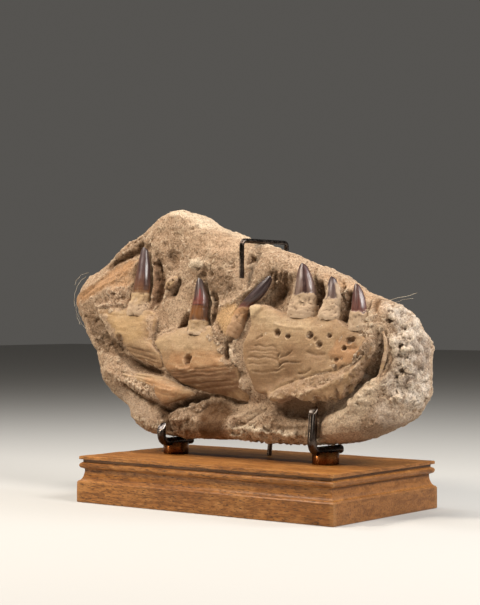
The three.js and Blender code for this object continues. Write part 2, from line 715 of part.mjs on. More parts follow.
// The plates have sockets where the roots stand in them. The third tooth leans behind the right plate.
const sockets = teeth.map(grown);
const toothSolids = teeth.map((tooth) => solidOf(tooth()));
toothSolids[2] = toothSolids[2].subtract(grown(rightPlate));
const plateSolids = {
  jaw_left: cut(solidOf(leftPlate()), [grown(middlePlate), sockets[0], ...foramina]),
  jaw_middle: cut(solidOf(middlePlate()), [sockets[1], sockets[2], ...foramina]),
  jaw_right: cut(solidOf(rightPlate()), [sockets[3], sockets[4], sockets[5], ...foramina]),
  lower_splinter: cut(solidOf(splinter()), [grown(middlePlate), ...holderTools]),
};

const gouges = GOUGES.map((gouge) => solidOf(gougeGeometry(gouge)));
const buried = [leftPlate, middlePlate, rightPlate, splinter, fragment, rib].map(grown);
const matrixSolid = cut(solidOf(matrixGeometry()), [...gouges, ...buried, ...sockets, ...holderTools]);

function mesh(name, geometry, material) {
  const part = new THREE.Mesh(geometry, material);
  part.name = name;
  return part;
}

slab.add(mesh('matrix', geometryOf(matrixSolid), sandstone));
for (const [name, solid] of Object.entries(plateSolids)) slab.add(mesh(name, geometryOf(solid), bone));
toothSolids.forEach((solid, i) => slab.add(mesh(`tooth_${i + 1}`, geometryOf(solid), enamel)));
slab.add(mesh('loose_fragment', fragment(), bone));
slab.add(mesh('curved_rib', rib(), bone));

const stand = new THREE.Group();
const socket = solidOf(postGeometry(GAP));
stand.add(mesh('plinth', geometryOf(solidOf(plinthGeometry()).subtract(socket)), wood));
for (const [side, hook] of [['left', LEFT_HOOK], ['right', RIGHT_HOOK]]) {
  const barrel = ferruleGeometry().translate(hook.x, hook.ferruleY, PLINTH_HEIGHT);
  const saddle = solidOf(hookGeometry(hook, GAP));
  stand.add(mesh(`ferrule_${side}`, geometryOf(solidOf(barrel).subtract(saddle)), brass));
  stand.add(mesh(`hook_${side}`, hookGeometry(hook), steel));
}
stand.add(mesh('rear_post', postGeometry(), steel));

const fossil = new THREE.Group();
fossil.add(stand, slab);

export default fossil;
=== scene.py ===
"""A fossil mosasaur jaw: bones and six teeth on a slab of sandy matrix, on a stand of wood, brass and steel.

Metres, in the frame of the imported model. Places on the slab are in millimetres: x to the right, z up the face,
and depth forward from the plane of its back.
"""

import itertools
import math

import bpy
import numpy as np
from mathutils import Matrix, Vector


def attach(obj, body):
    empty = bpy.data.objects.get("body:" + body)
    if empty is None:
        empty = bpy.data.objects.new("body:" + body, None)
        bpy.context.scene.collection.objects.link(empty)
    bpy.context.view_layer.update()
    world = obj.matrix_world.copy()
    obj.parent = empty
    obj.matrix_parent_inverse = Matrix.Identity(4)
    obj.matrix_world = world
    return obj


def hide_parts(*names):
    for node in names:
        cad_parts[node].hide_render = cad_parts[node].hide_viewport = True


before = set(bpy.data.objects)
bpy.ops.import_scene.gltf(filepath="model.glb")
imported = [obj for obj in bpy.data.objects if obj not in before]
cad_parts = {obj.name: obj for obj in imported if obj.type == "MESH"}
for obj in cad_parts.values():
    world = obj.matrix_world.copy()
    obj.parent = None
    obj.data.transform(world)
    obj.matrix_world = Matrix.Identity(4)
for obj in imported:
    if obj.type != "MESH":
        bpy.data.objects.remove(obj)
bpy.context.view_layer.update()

MM = 0.001
SLAB_LEAN = math.radians(8)
SLAB = Matrix.Translation((0, 0.032, 0.066)) @ Matrix.Rotation(-SLAB_LEAN, 4, "X")

# Driving dimensions of the stand, in millimetres
PLINTH_WIDTH = 323.4
PLINTH_DEPTH = 184.2
PLINTH_HEIGHT = 48
FERRULE_DIAMETER = 27
FERRULE_HEIGHT = 12.5
HOOK_ROD = 9
HOOK_ARM_Z = 61.2
HOOK_BEND = 12
HOOK_FRONT = -31.5
HOOK_BACK = 20
TINE_LEAN = math.radians(4)
HOOKS = {"left": (-98.8, 82.5), "right": (94.2, 106)}
FERRULES = {"left": (-101.2, -4), "right": (95.3, -9)}
POST_ROD = 5
POST_X = -4.6
POST_FOOT_Y = 32
POST_TOP = 270.5
POST_BEND = 6
POST_TINE_Y = -14.6
POST_TINE_END = 232

# Voxel widths and the rock's depth under the bones' surface, in millimetres, and the slab's most triangles
ROUGH_VOXEL = 1.9
FINE_VOXEL = 1.15
BONE_VOXEL = 0.9
SMALL_VOXEL = 0.5
BURIED_GAP = 1.1
SMALL_BONES = ("loose_fragment", "curved_rib")
SLAB_TRIANGLES = 197000

# The photo's camera: its place in metres, its direction in radians, and its focal length in pixels
CAMERA_PLACE = (0.9991, -1.3109, 0.1975)
CAMERA_YAW = -0.660
CAMERA_PITCH = 0.006
FOCAL_LENGTH = 1607.9
PICTURE_HEIGHT = 605
SENSOR_WIDTH = 36

# Teeth from tip to root: x, z, half width, and the depth of the front of the tooth
TEETH = [
    [(-146.4, 194.6, 3.2, 64.3), (-146.6, 190, 4.4, 65.2), (-146.5, 181, 6.2, 66.3), (-146.1, 170, 7.6, 67.6),
     (-145.8, 159, 9.2, 68.9), (-146.2, 150.5, 10.3, 69.4), (-146.6, 147, 9.8, 68.9),
     (-147.4, 141, 10.6, 68.4),
     (-149.2, 132, 11.2, 67.4), (-150, 121, 12, 65.5)],
    [(-66, 160, 2.6, 64.8), (-65.2, 156, 3.8, 65.8), (-64.3, 151.5, 5, 66.7), (-63.2, 146, 6.6, 67.6),
     (-62.2, 140, 8.1, 68.6), (-62, 133, 9.3, 69.7), (-62.4, 125.5, 9.8, 70.3), (-63, 120, 10.4, 70.2),
     (-64, 112, 11.6, 69.3), (-64.6, 101, 13, 67)],
    [(28, 161, 2.2, 65.3), (26, 157.6, 3.4, 66.3), (23, 153.6, 4.8, 67.4), (18.6, 148.7, 6, 68.6),
     (13.5, 143.1, 6.4, 69.3), (7.6, 138, 5.9, 69.3), (1.6, 133.3, 5, 68.8), (-3.4, 127, 6, 68.5),
     (-7.3, 119, 7.2, 68.2), (-11.4, 110.5, 7, 67.3), (-16, 101, 6, 65.5)],
    [(67.1, 173, 2.8, 66.2), (67.1, 168.5, 5, 67.2), (67.5, 163.5, 6.9, 68.2), (68.3, 158, 8.6, 69.3),
     (69.2, 152.5, 10, 70.2), (70, 146, 11.5, 71), (70, 140, 12.6, 71), (68.6, 133.5, 14, 70.6),
     (67.5, 119, 15.5, 68.8)],
    [(102.9, 159.4, 2.3, 64.8), (103, 155, 4.2, 65.6), (103.4, 150.4, 5.8, 66.4), (104.4, 144, 7, 67.6),
     (104.8, 139, 7.9, 68.2), (103.8, 132.5, 9, 69), (102.5, 117, 11.5, 67.5)],
    [(132.9, 151.6, 2.2, 66.4), (133.9, 147.4, 3.8, 67.5), (134.9, 143.3, 5.1, 68.4), (136.1, 137, 6.7, 69.5),
     (137.2, 131, 7.5, 70.2), (138, 125.4, 8, 70.5), (137.2, 119.5, 9.6, 69.8), (137.5, 107, 11.5, 67.3)],
]
TOOTH_FLATTENING = 0.85

# Channels of removed rock round the teeth, in millimetres, and the teeth with a deeper one on their right
CHANNEL_WIDTH = 4.5
CHANNEL_DEPTH = 4
DEEP_RIGHT_BY = 5
DEEP_RIGHT_SIDES = (0, 1, 3, 4)


# Modelling

def choose(piece):
    """Leaves this piece as the only selected object, and active."""
    bpy.ops.object.select_all(action="DESELECT")
    piece.select_set(True)
    bpy.context.view_layer.objects.active = piece


def apply_modifier(piece, kind, **settings):
    """Adds a modifier with these settings and applies it."""
    modifier = piece.modifiers.new(kind.title(), kind)
    for name, value in settings.items():
        setattr(modifier, name, value)
    choose(piece)
    bpy.ops.object.modifier_apply(modifier=modifier.name)


def remesh(piece, voxel, rounds):
    """Gives a piece an even mesh, of voxels this many millimetres wide, and smooths it."""
    apply_modifier(piece, "REMESH", mode="VOXEL", voxel_size=voxel * MM)
    apply_modifier(piece, "SMOOTH", factor=0.5, iterations=rounds)


def edit(piece):
    """Enters edit mode on this piece, with nothing selected in it."""
    choose(piece)
    bpy.ops.object.mode_set(mode="EDIT")
    bpy.ops.mesh.select_all(action="DESELECT")


def leave_edit():
    """Goes back to object mode."""
    bpy.ops.object.mode_set(mode="OBJECT")


def merged_copy(name, *nodes):
    """One new piece with the merged meshes of these CAD nodes, in the slab's own frame."""
    copies = []
    for node in nodes:
        copy = bpy.data.objects.new(name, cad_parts[node].data.copy())
        bpy.context.scene.collection.objects.link(copy)
        copy.data.materials.clear()
        copy.data.transform(SLAB.inverted())
        copies.append(copy)
    choose(copies[0])
    for copy in copies:
        copy.select_set(True)
    if len(copies) > 1:
        bpy.ops.object.join()
    piece = bpy.context.view_layer.objects.active
    edit(piece)
    bpy.ops.mesh.select_all(action="SELECT")
    bpy.ops.mesh.remove_doubles(threshold=0.00002)
    leave_edit()
    return piece


def finish_piece(piece, name, finish, nodes=(), smooth_angle=40, on_slab=False):
    """Names a piece, moves it onto the slab if asked, gives it its finish, attaches it to the root body and
    hides the CAD parts it stands for.
    """
    if on_slab:
        piece.data.transform(SLAB)
    piece.name = name
    piece.data.name = name
    choose(piece)
    bpy.ops.object.transform_apply(location=True, rotation=True, scale=True)
    bpy.ops.object.shade_smooth_by_angle(angle=math.radians(smooth_angle))
    piece.data.materials.clear()
    piece.data.materials.append(finish.material)
    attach(piece, "root")
    if nodes:
        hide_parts(*nodes)
    return piece


# Sculpting

# Farther away than any seed, in cell sizes
FAR = 9.0


def chance(cell, seed):
    """A steady random number from 0 to 1 for each whole-numbered place."""
    i = cell.astype(np.int64)
    mixed = (i[:, 0] * 73856093) ^ (i[:, 1] * 19349663) ^ (i[:, 2] * 83492791) ^ (seed * 50331653)
    mixed = (mixed ^ (mixed >> 13)) * 1274126177
    return ((mixed ^ (mixed >> 16)) & 0xFFFF) / 65535


def noise(places, size, seed):
    """Smooth noise from -1 to 1, with lumps about this size across."""
    scaled = places / size + 0.37 * seed
    cell = np.floor(scaled)
    part = scaled - cell
    part = part ** 3 * (part * (part * 6 - 15) + 10)
    total = np.zeros(len(places))
    for corner in itertools.product((0, 1), repeat=3):
        share = np.prod(np.where(corner, part, 1 - part), axis=1)
        total += share * chance(cell + corner, seed)
    return 2 * total - 1


def rough(places, size, seed, octaves=4, gain=0.5):
    """Noise with finer and finer lumps on the first ones."""
    turn = np.array([[0.8, 0.36, -0.48], [-0.6, 0.48, -0.64], [0, 0.8, 0.6]])
    total, strength = np.zeros(len(places)), 1.0
    for octave in range(octaves):
        total += strength * noise(places, size, seed + octave)
        places = places @ turn
        size *= 0.5
        strength *= gain
    return total


def seeds_around(scaled, seed):
    """The 27 cells at and round each place, and the seed scattered in each of them."""
    cell = np.floor(scaled)
    for corner in itertools.product((-1, 0, 1), repeat=3):
        there = cell + corner
        yield there, there + np.stack([chance(there, seed + axis) for axis in range(3)], axis=1)


def cells(places, size, seed):
    """Distance to the nearest of scattered seeds, in cell sizes."""
    scaled = places / size
    nearest = np.full(len(places), FAR)
    for _, centre in seeds_around(scaled, seed):
        nearest = np.minimum(nearest, np.linalg.norm(scaled - centre, axis=1))
    return nearest


def facets(places, size, seed):
    """Broken faces from -1 to 1: a patchwork of flat tilted chips about this size across."""
    scaled = places / size
    nearest = np.full(len(places), FAR)
    height = np.zeros(len(places))
    for there, centre in seeds_around(scaled, seed):
        apart = scaled - centre
        away = np.linalg.norm(apart, axis=1)
        tilt = np.stack([2 * chance(there, seed + 5 + axis) - 1 for axis in range(3)], axis=1)
        plane = np.sum(apart * tilt, axis=1) + chance(there, seed + 9) - 0.5
        height = np.where(away < nearest, plane, height)
        nearest = np.minimum(nearest, away)
    return height


def step(low, high, values):
    """A smooth rise from 0 at low to 1 at high."""
    t = np.clip((values - low) / (high - low), 0, 1)
    return t * t * (3 - 2 * t)


def along(x, z, line):
    """Distance from a line, how far along it from 0 to 1, and the signed distance, positive on its left."""
    points = np.array(line, float)
    lengths = np.linalg.norm(np.diff(points, axis=0), axis=1)
    starts = np.concatenate([[0], np.cumsum(lengths)])
    nearest = np.full(len(x), 1e9)
    reach = np.zeros(len(x))
    side = np.zeros(len(x))
    for i, length in enumerate(lengths):
        ax, az = points[i]
        dx, dz = (points[i + 1] - points[i]) / length
        t = np.clip((x - ax) * dx + (z - az) * dz, 0, length)
        away = np.hypot(x - ax - t * dx, z - az - t * dz)
        closer = away < nearest
        nearest = np.where(closer, away, nearest)
        reach = np.where(closer, (starts[i] + t) / starts[-1], reach)
        side = np.where(closer, np.sign(dx * (z - az) - dz * (x - ax)), side)
    return nearest, reach, side * nearest


def within(x, z, points):
    """Distance from a closed outline, positive inside it and negative outside."""
    away = along(x, z, points + points[:1])[0]
    inside = np.zeros(len(x), bool)
    for (ax, az), (bx, bz) in zip(points, points[1:] + points[:1]):
        rises = (az > z) != (bz > z)
        inside ^= rises & (x < ax + (bx - ax) * (z - az) / (bz - az + 1e-9))
    return np.where(inside, away, -away)


class Clay:
    """The vertices of a piece on the slab, in millimetres, to be pushed about and then written back."""

    def __init__(self, piece, wobble=1.5, wobble_size=13):
        self.piece = piece
        mesh = piece.data
        count = len(mesh.vertices)
        flat = np.empty(count * 3, np.float32)
        mesh.vertices.foreach_get("co", flat)
        self.places = flat.reshape(-1, 3).astype(float) / MM
        ends = np.empty(len(mesh.edges) * 2, np.int32)
        mesh.edges.foreach_get("vertices", ends)
        self.ends = ends.reshape(-1, 2)
        self.neighbours = np.maximum(np.bincount(ends, minlength=count), 1)
        self.refresh()
        shift = [rough(self.places, wobble_size, 900 + 10 * axis, 3) * wobble for axis in range(2)]
        self.x = self.places[:, 0] + shift[0]
        self.z = self.places[:, 2] + shift[1]
        self.fray = rough(self.places, 5, 930, 3, 0.7)

    def refresh(self):
        """Works out the normals again, and how far each place faces the front."""
        mesh = self.piece.data
        mesh.vertices.foreach_set("co", (self.places * MM).astype(np.float32).ravel())
        mesh.update()
        normals = np.empty(len(mesh.vertices) * 3, np.float32)
        mesh.vertex_normals.foreach_get("vector", normals)
        self.normals = normals.reshape(-1, 3).astype(float)
        self.facing = np.clip(-self.normals[:, 1], 0, 1)

    def forward(self, amount):
        """Moves the places that face the front this far out of the slab."""
        self.places[:, 1] -= amount * step(0.05, 0.6, self.facing)

    def outward(self, amount):
        """Moves every place this far along its own normal."""
        self.places += self.normals * np.reshape(amount, (-1, 1))

    def spread(self, values, rounds):
        """Each value evened out with its neighbours'."""
        a, b = self.ends[:, 0], self.ends[:, 1]
        count = len(self.places)
        for _ in range(rounds):
            total = np.bincount(a, values[b], count) + np.bincount(b, values[a], count)
            values = 0.5 * values + 0.5 * total / self.neighbours
        return values

    def hollowness(self, rounds):
        """How far each place stands out of its smoothed surroundings, in millimetres."""
        smoothed = np.stack([self.spread(self.places[:, axis], rounds) for axis in range(3)], axis=1)
        return np.sum((self.places - smoothed) * self.normals, axis=1)

    def around(self, points, margin):
        """The vertices near these places, to spare the work on all the rest."""
        low, high = np.min(points, axis=0) - margin, np.max(points, axis=0) + margin
        close = (self.x > low[0]) & (self.x < high[0]) & (self.z > low[1]) & (self.z < high[1])
        return np.flatnonzero(close)

    def line(self, rise, half_width, points, taper=0.12):
        """A rounded ridge, or a furrow where the rise is negative."""
        near = self.around(points, 3 * half_width)
        away, reach, _ = along(self.x[near], self.z[near], points)
        ends = step(0, taper, reach) * step(0, taper, 1 - reach)
        change = np.zeros(len(self.x))
        change[near] = rise * np.exp(-(away / half_width) ** 2) * ends * (1 + 0.35 * self.fray[near])
        return change

    def scarp(self, rise, edge, fade, points, taper=0.15):
        """A broken edge: the left of the line stands up by the rise and falls away again over the fade."""
        near = self.around(points, 2.5 * fade)
        _, reach, side = along(self.x[near], self.z[near], points)
        side = side + 0.7 * self.fray[near]
        ends = step(0, taper, reach) * step(0, taper, 1 - reach)
        change = np.zeros(len(self.x))
        change[near] = rise * step(-edge, edge, side) * np.exp(-(np.maximum(side, 0) / fade) ** 2) * ends
        return change

    def region(self, points, soft=1.5, ragged=1.0):
        """1 inside a closed outline and 0 outside it, with a soft and ragged border."""
        near = self.around(points, soft + 2 * ragged)
        mask = np.zeros(len(self.x))
        inside = within(self.x[near], self.z[near], points)
        mask[near] = step(-soft, soft, inside + ragged * self.fray[near])
        return mask

    def patch(self, x, z, half_width, half_height, turn):
        """A mask that is 1 inside an oval and 0 outside, with a soft border."""
        c, s = math.cos(math.radians(turn)), math.sin(math.radians(turn))
        u = ((self.x - x) * c + (self.z - z) * s) / half_width
        v = ((self.z - z) * c - (self.x - x) * s) / half_height
        return 1 - step(0.5, 1.5, np.hypot(u, v))

    def keep(self, name, values):
        """Stores a number for each vertex, which the finishes read."""
        mesh = self.piece.data
        attribute = mesh.attributes.get(name) or mesh.attributes.new(name, "FLOAT", "POINT")
        attribute.data.foreach_set("value", np.asarray(values, np.float32))

    def keep_wear_and_painted_light(self, fine, broad):
        """Stores how hollow or proud each place is, from 0 in a cavity to 1 on an edge, for the painted shade in
        hollows and the paler edges and bulges that the finishes lay on.
        """
        self.refresh()
        self.keep("fine_painted_light_and_wear", np.clip(0.5 + 0.5 * self.hollowness(2) / fine, 0, 1))
        self.keep("broad_painted_light", np.clip(0.5 + 0.5 * self.hollowness(24) / broad, 0, 1))


# Finishes

def tint(red, green, blue):
    """An opaque colour."""
    return (red, green, blue, 1)


class Value:
    """One number inside a finish, on which sums are written as plain expressions."""

    def __init__(self, finish, socket):
        self.finish = finish
        self.socket = socket

    def sum(self, operation, first, second=0.0, clamp=False):
        """The result of one sum, as a number that can be used in the next."""
        settings = {"operation": operation, "use_clamp": clamp}
        node = self.finish.node("ShaderNodeMath", settings, {0: first, 1: second})
        return Value(self.finish, node.outputs[0])

    def __add__(self, other):
        return self.sum("ADD", self, other)

    def __radd__(self, other):
        return self.sum("ADD", other, self)

    def __sub__(self, other):
        return self.sum("SUBTRACT", self, other)

    def __rsub__(self, other):
        return self.sum("SUBTRACT", other, self)

    def __mul__(self, other):
        return self.sum("MULTIPLY", self, other)

    def __rmul__(self, other):
        return self.sum("MULTIPLY", other, self)

    def clamp(self):
        """This number kept between 0 and 1."""
        return self.sum("ADD", self, 0.0, clamp=True)

    def step(self, low, high, start=0.0, end=1.0):
        """A smooth change from start at low to end at high."""
        values = {"Value": self, "From Min": low, "From Max": high, "To Min": start, "To Max": end}
        node = self.finish.node("ShaderNodeMapRange", {"interpolation_type": "SMOOTHSTEP"}, values)
        return Value(self.finish, node.outputs[0])


class Finish:
    """A procedural material: a Principled shader and the nodes that feed it."""

    def __init__(self, name, **constants):
        self.material = bpy.data.materials.new(name)
        self.material.use_nodes = True
        self.tree = self.material.node_tree
        self.shader = self.tree.nodes["Principled BSDF"]
        for socket, value in constants.items():
            self.shader.inputs[socket.replace("_", " ")].default_value = value
        self.object_place = self.node("ShaderNodeTexCoord").outputs["Object"]

    def node(self, kind, settings=None, values=None):
        """Adds a node, sets it up, and then gives its sockets their values or links."""
        made = self.tree.nodes.new(kind)
        for name, value in (settings or {}).items():
            setattr(made, name, value)
        for socket, value in (values or {}).items():
            self.give(made.inputs[socket], value)
        return made

    def give(self, socket, value):
        """Links a socket to another one, or sets its own value."""
        source = value.socket if isinstance(value, Value) else value
        if isinstance(source, bpy.types.NodeSocket):
            self.tree.links.new(source, socket)
        else:
            socket.default_value = source

    def stretched(self, stretch, turn=(0, 0, 0)):
        """The place on the piece, turned and then scaled by the stretch along each axis."""
        values = {"Vector": self.object_place, "Scale": stretch, "Rotation": turn}
        return self.node("ShaderNodeMapping", None, values).outputs[0]

    def attribute(self, name, output="Fac"):
        """What a sculpted piece stored for each vertex under this name."""
        socket = self.node("ShaderNodeAttribute", {"attribute_name": name}).outputs[output]
        return Value(self, socket) if output == "Fac" else socket

    def noise(self, size, detail=3, roughness=0.55, place=None, distortion=0.0):
        """Noise from 0 to 1 with lumps about this size across, in millimetres."""
        values = {"Vector": place or self.object_place, "Scale": 1 / (size * MM), "Detail": detail,
                  "Roughness": roughness, "Distortion": distortion}
        return Value(self, self.node("ShaderNodeTexNoise", None, values).outputs[0])

    def cells(self, size, feature="F1", place=None):
        """Distance to scattered seeds about this far apart in millimetres, or to the borders between them."""
        values = {"Vector": place or self.object_place, "Scale": 1 / (size * MM)}
        node = self.node("ShaderNodeTexVoronoi", {"feature": feature}, values)
        return Value(self, node.outputs["Distance"])

    def mix(self, share, first, second):
        """One colour over another."""
        node = self.node("ShaderNodeMix", {"data_type": "RGBA"}, {0: share, 6: first, 7: second})
        return node.outputs[2]

    def over(self, colour, *layers):
        """A colour with others laid over it one by one, each with its share."""
        for share, layer in layers:
            colour = self.mix(share, colour, layer)
        return colour

    def shade(self, colour, amount):
        """A colour made darker or lighter by a number."""
        values = {0: colour, "Scale": amount}
        return self.node("ShaderNodeVectorMath", {"operation": "SCALE"}, values).outputs[0]

    def wear(self, **sockets):
        """Feeds the shader's own sockets."""
        for name, value in sockets.items():
            self.give(self.shader.inputs[name.replace("_", " ")], value)

    def bump(self, *layers):
        """Bumps one on another, each with its height and its depth in millimetres."""
        normal = None
        for height, depth in layers:
            values = {"Height": height, "Strength": 1.0, "Distance": depth * MM}
            if normal is not None:
                values["Normal"] = normal
            normal = self.node("ShaderNodeBump", None, values).outputs[0]
        self.give(self.shader.inputs["Normal"], normal)


def rock_colour(f, mottle, grain):
    """Tan, brown and pale in patches, with a few pores. The same on the matrix and where it covers a bone."""
    return f.over(
        f.mix(f.noise(46, 3, 0.6).step(0.38, 0.62), tint(0.345, 0.23, 0.145), tint(0.40, 0.28, 0.185)),
        (mottle.step(0.46, 0.70) * 0.45, tint(0.26, 0.155, 0.085)),
        (f.noise(17, 2).step(0.52, 0.70) * 0.45, tint(0.46, 0.345, 0.235)),
        (f.noise(2.8, 3, 0.7).step(0.54, 0.70) * 0.55, tint(0.56, 0.44, 0.31)),
        (grain.step(0.36, 0.46, 0.5, 0.0), tint(0.17, 0.09, 0.042)))


def matrix_finish():
    """Sandy matrix: tan and brown in patches, grains, dark pores, dusty crusts, painted shade in hollows,
    furrows and shadowed places, and pale edges and bulges that are partly worn and partly painted highlight.
    """
    f = Finish("Sandy matrix", Specular_IOR_Level=0.2)
    fine, broad, smooth = f.attribute("fine_painted_light_and_wear"), f.attribute("broad_painted_light"), f.attribute("smooth")
    grey, brown = f.attribute("grey"), f.attribute("brown")
    mottle = f.noise(8, 4, 0.65, distortion=0.4)
    grain = f.noise(1.7, 4, 0.75)
    grit = f.cells(2.0)
    broken = mottle.step(0.3, 0.55, 0.6, 1.0)
    colour = f.over(
        rock_colour(f, mottle, grain),
        (grey * mottle.step(0.38, 0.68, 0.9, 0.3), tint(0.62, 0.53, 0.44)),
        (f.attribute("orange") * broken, tint(0.40, 0.215, 0.10)),
        (f.attribute("red") * broken, tint(0.28, 0.125, 0.08)),
        (f.attribute("yellow"), tint(0.42, 0.26, 0.125)),
        # Dark brown: mostly painted shade in hollows, slots, furrows and cast shadows, partly the rock's own
        # brown
        (brown * mottle.step(0.3, 0.65, 1.0, 0.85), tint(0.075, 0.032, 0.010)),
        (f.attribute("pale") * broken, tint(0.58, 0.465, 0.335)),
        # Painted shade in broad and small hollows
        (broad.step(0.05, 0.44, 0.75, 0.0) * (1 - grey * 0.6), tint(0.10, 0.046, 0.018)),
        (fine.step(0.10, 0.46, 0.60, 0.0) * (1 - grey * 0.35), tint(0.13, 0.07, 0.033)),
        # Paler small proud edges, partly worn rock and partly painted highlight; paler broad bulges, a painted
        # highlight
        ((fine * (1 - brown * 0.5)).step(0.55, 0.92, 0.0, 0.55), tint(0.64, 0.52, 0.38)),
        (broad.step(0.60, 0.95, 0.0, 0.30) * (1 - brown), tint(0.53, 0.41, 0.28)),
        (grit.step(0.06, 0.20, 0.4, 0.0) * (1 - smooth), tint(0.12, 0.06, 0.028)))
    colour = f.shade(colour, grain.step(0.34, 0.66, 0.70, 1.26))
    f.wear(Base_Color=colour, Roughness=grain.step(0.3, 0.7, 0.86, 0.98))
    f.bump((mottle * (1 - smooth), 0.6), (f.noise(3.2, 3, 0.7) * (1.25 - smooth), 1.0),
           (grain * (1.3 - smooth), 1.0), (grit.step(0.05, 0.35) * (1.1 - smooth), 0.4))
    return f


def bone_finish():
    """Fossil bone: ochre, paler along upper edges and browner in lower bands and under edges, partly its own
    colour and partly painted light from above and painted shade, with painted shade in hollows, fine fibres,
    pores and rock left on its edges.
    """
    f = Finish("Jaw bone", Specular_IOR_Level=0.32)
    fine, broad, sand = f.attribute("fine_painted_light_and_wear"), f.attribute("broad_painted_light"), f.attribute("sand")
    brown = f.attribute("brown")
    fibres = f.noise(1.1, 3, 0.6, f.stretched((0.12, 1, 1)))
    streaks = f.noise(4.5, 3, 0.6, f.stretched((0.22, 1, 1)))
    mottle = f.noise(8, 4, 0.65, distortion=0.4)
    grain = f.noise(1.7, 4, 0.75)
    colour = f.over(
        f.mix(f.noise(26, 3, 0.6).step(0.36, 0.64), tint(0.275, 0.165, 0.083), tint(0.335, 0.22, 0.118)),
        # Paler, mostly along the upper edges: partly the bone's own colour, partly painted light from above
        (f.attribute("pale"), tint(0.47, 0.345, 0.205)),
        (f.attribute("yellow"), tint(0.39, 0.25, 0.115)),
        # Brown: mostly painted shade in lower bands, undercuts and under edges, partly the bone's own brown
        (brown, tint(0.14, 0.065, 0.026)),
        (f.attribute("orange"), tint(0.40, 0.20, 0.085)),
        (mottle.step(0.48, 0.72) * 0.40, tint(0.25, 0.145, 0.07)),
        (streaks.step(0.50, 0.72) * 0.35, tint(0.47, 0.33, 0.19)),
        (fibres.step(0.54, 0.76) * 0.30, tint(0.20, 0.11, 0.05)),
        (f.cells(2.5).step(0.06, 0.16, 0.5, 0.0) * mottle.step(0.42, 0.6), tint(0.12, 0.06, 0.028)),
        (sand, rock_colour(f, mottle, grain)),
        # Rock in those brown places darker too, as painted shade
        (sand * brown * 0.75, tint(0.15, 0.078, 0.034)),
        # Painted shade in broad and small hollows; paler small proud edges, partly worn and partly painted
        # highlight
        (broad.step(0.08, 0.45, 0.72, 0.0), tint(0.13, 0.062, 0.025)),
        (fine.step(0.10, 0.46, 0.65, 0.0), tint(0.15, 0.078, 0.034)),
        (fine.step(0.58, 0.92, 0.0, 0.40), tint(0.62, 0.48, 0.31)))
    colour = f.shade(colour, grain.step(0.34, 0.66, 0.84, 1.14))
    f.wear(Base_Color=colour, Roughness=(sand * 0.3 + grain.step(0.3, 0.7, 0.56, 0.70)).clamp())
    f.bump((mottle, 0.4), (fibres, 0.2), (grain * (sand + 0.3), 0.55))
    return f


def fibre_finish():
    """Bleached plant fibre, a little browner in places."""
    f = Finish("Pale fibre", Specular_IOR_Level=0.3)
    patches = f.noise(5, 3, 0.6)
    colour = f.mix(patches.step(0.4, 0.6), tint(0.62, 0.56, 0.46), tint(0.44, 0.35, 0.24))
    f.wear(Base_Color=colour, Roughness=patches.step(0.3, 0.7, 0.5, 0.7))
    return f


def enamel_finish():
    """Tooth: glossy brown enamel with lengthwise streaks and fine cracks, on a dull sandy root; some teeth carry
    painted highlights and painted shade in their colours, and small hollows get painted shade.
    """
    f = Finish("Tooth enamel", Specular_IOR_Level=0.4, Coat_Roughness=0.22)
    root, sand, lines = f.attribute("root"), f.attribute("sand"), f.attribute("ring_lines")
    place = f.attribute("lengthwise", "Vector")
    streaks = f.noise(0.9, 3, 0.65, place)
    bands = f.noise(3.2, 2, 0.5, place)
    cracks = f.cells(6, "DISTANCE_TO_EDGE", place)
    grain = f.noise(1.7, 4, 0.75)
    mottle = f.noise(8, 4, 0.65, distortion=0.4)
    enamel = f.over(
        # The stored colours, with painted highlights and painted shade down some teeth
        f.attribute("shade", "Color"),
        (streaks.step(0.50, 0.72) * 0.35, tint(0.24, 0.145, 0.11)),
        (bands.step(0.52, 0.64, 0.0, 0.5), tint(0.030, 0.014, 0.012)),
        (cracks.step(0.0, 0.03, 0.5, 0.0), tint(0.03, 0.015, 0.01)))
    ochre = f.over(
        f.mix(mottle.step(0.35, 0.65), tint(0.36, 0.24, 0.13), tint(0.47, 0.33, 0.19)),
        (f.attribute("brown"), tint(0.33, 0.18, 0.085)),
        (grain.step(0.50, 0.72) * 0.5, tint(0.24, 0.145, 0.075)))
    colour = f.over(
        f.shade(enamel, 0.8),
        (root, ochre),
        (sand, f.mix(0.35, rock_colour(f, mottle, grain), tint(0.60, 0.46, 0.32))),
        (lines, tint(0.09, 0.04, 0.018)),
        # Painted shade in small hollows
        (f.attribute("fine_painted_light_and_wear").step(0.12, 0.45, 0.6, 0.0), tint(0.10, 0.05, 0.025)))
    dull = (root + sand).clamp()
    f.wear(Base_Color=colour, Roughness=(dull * 0.6 + streaks.step(0.3, 0.7, 0.26, 0.42)).clamp(),
           Coat_Weight=(0.25 - dull * 0.25).clamp())
    f.bump((streaks, 0.12), (mottle * dull, 0.4), (grain * dull, 0.6))
    return f


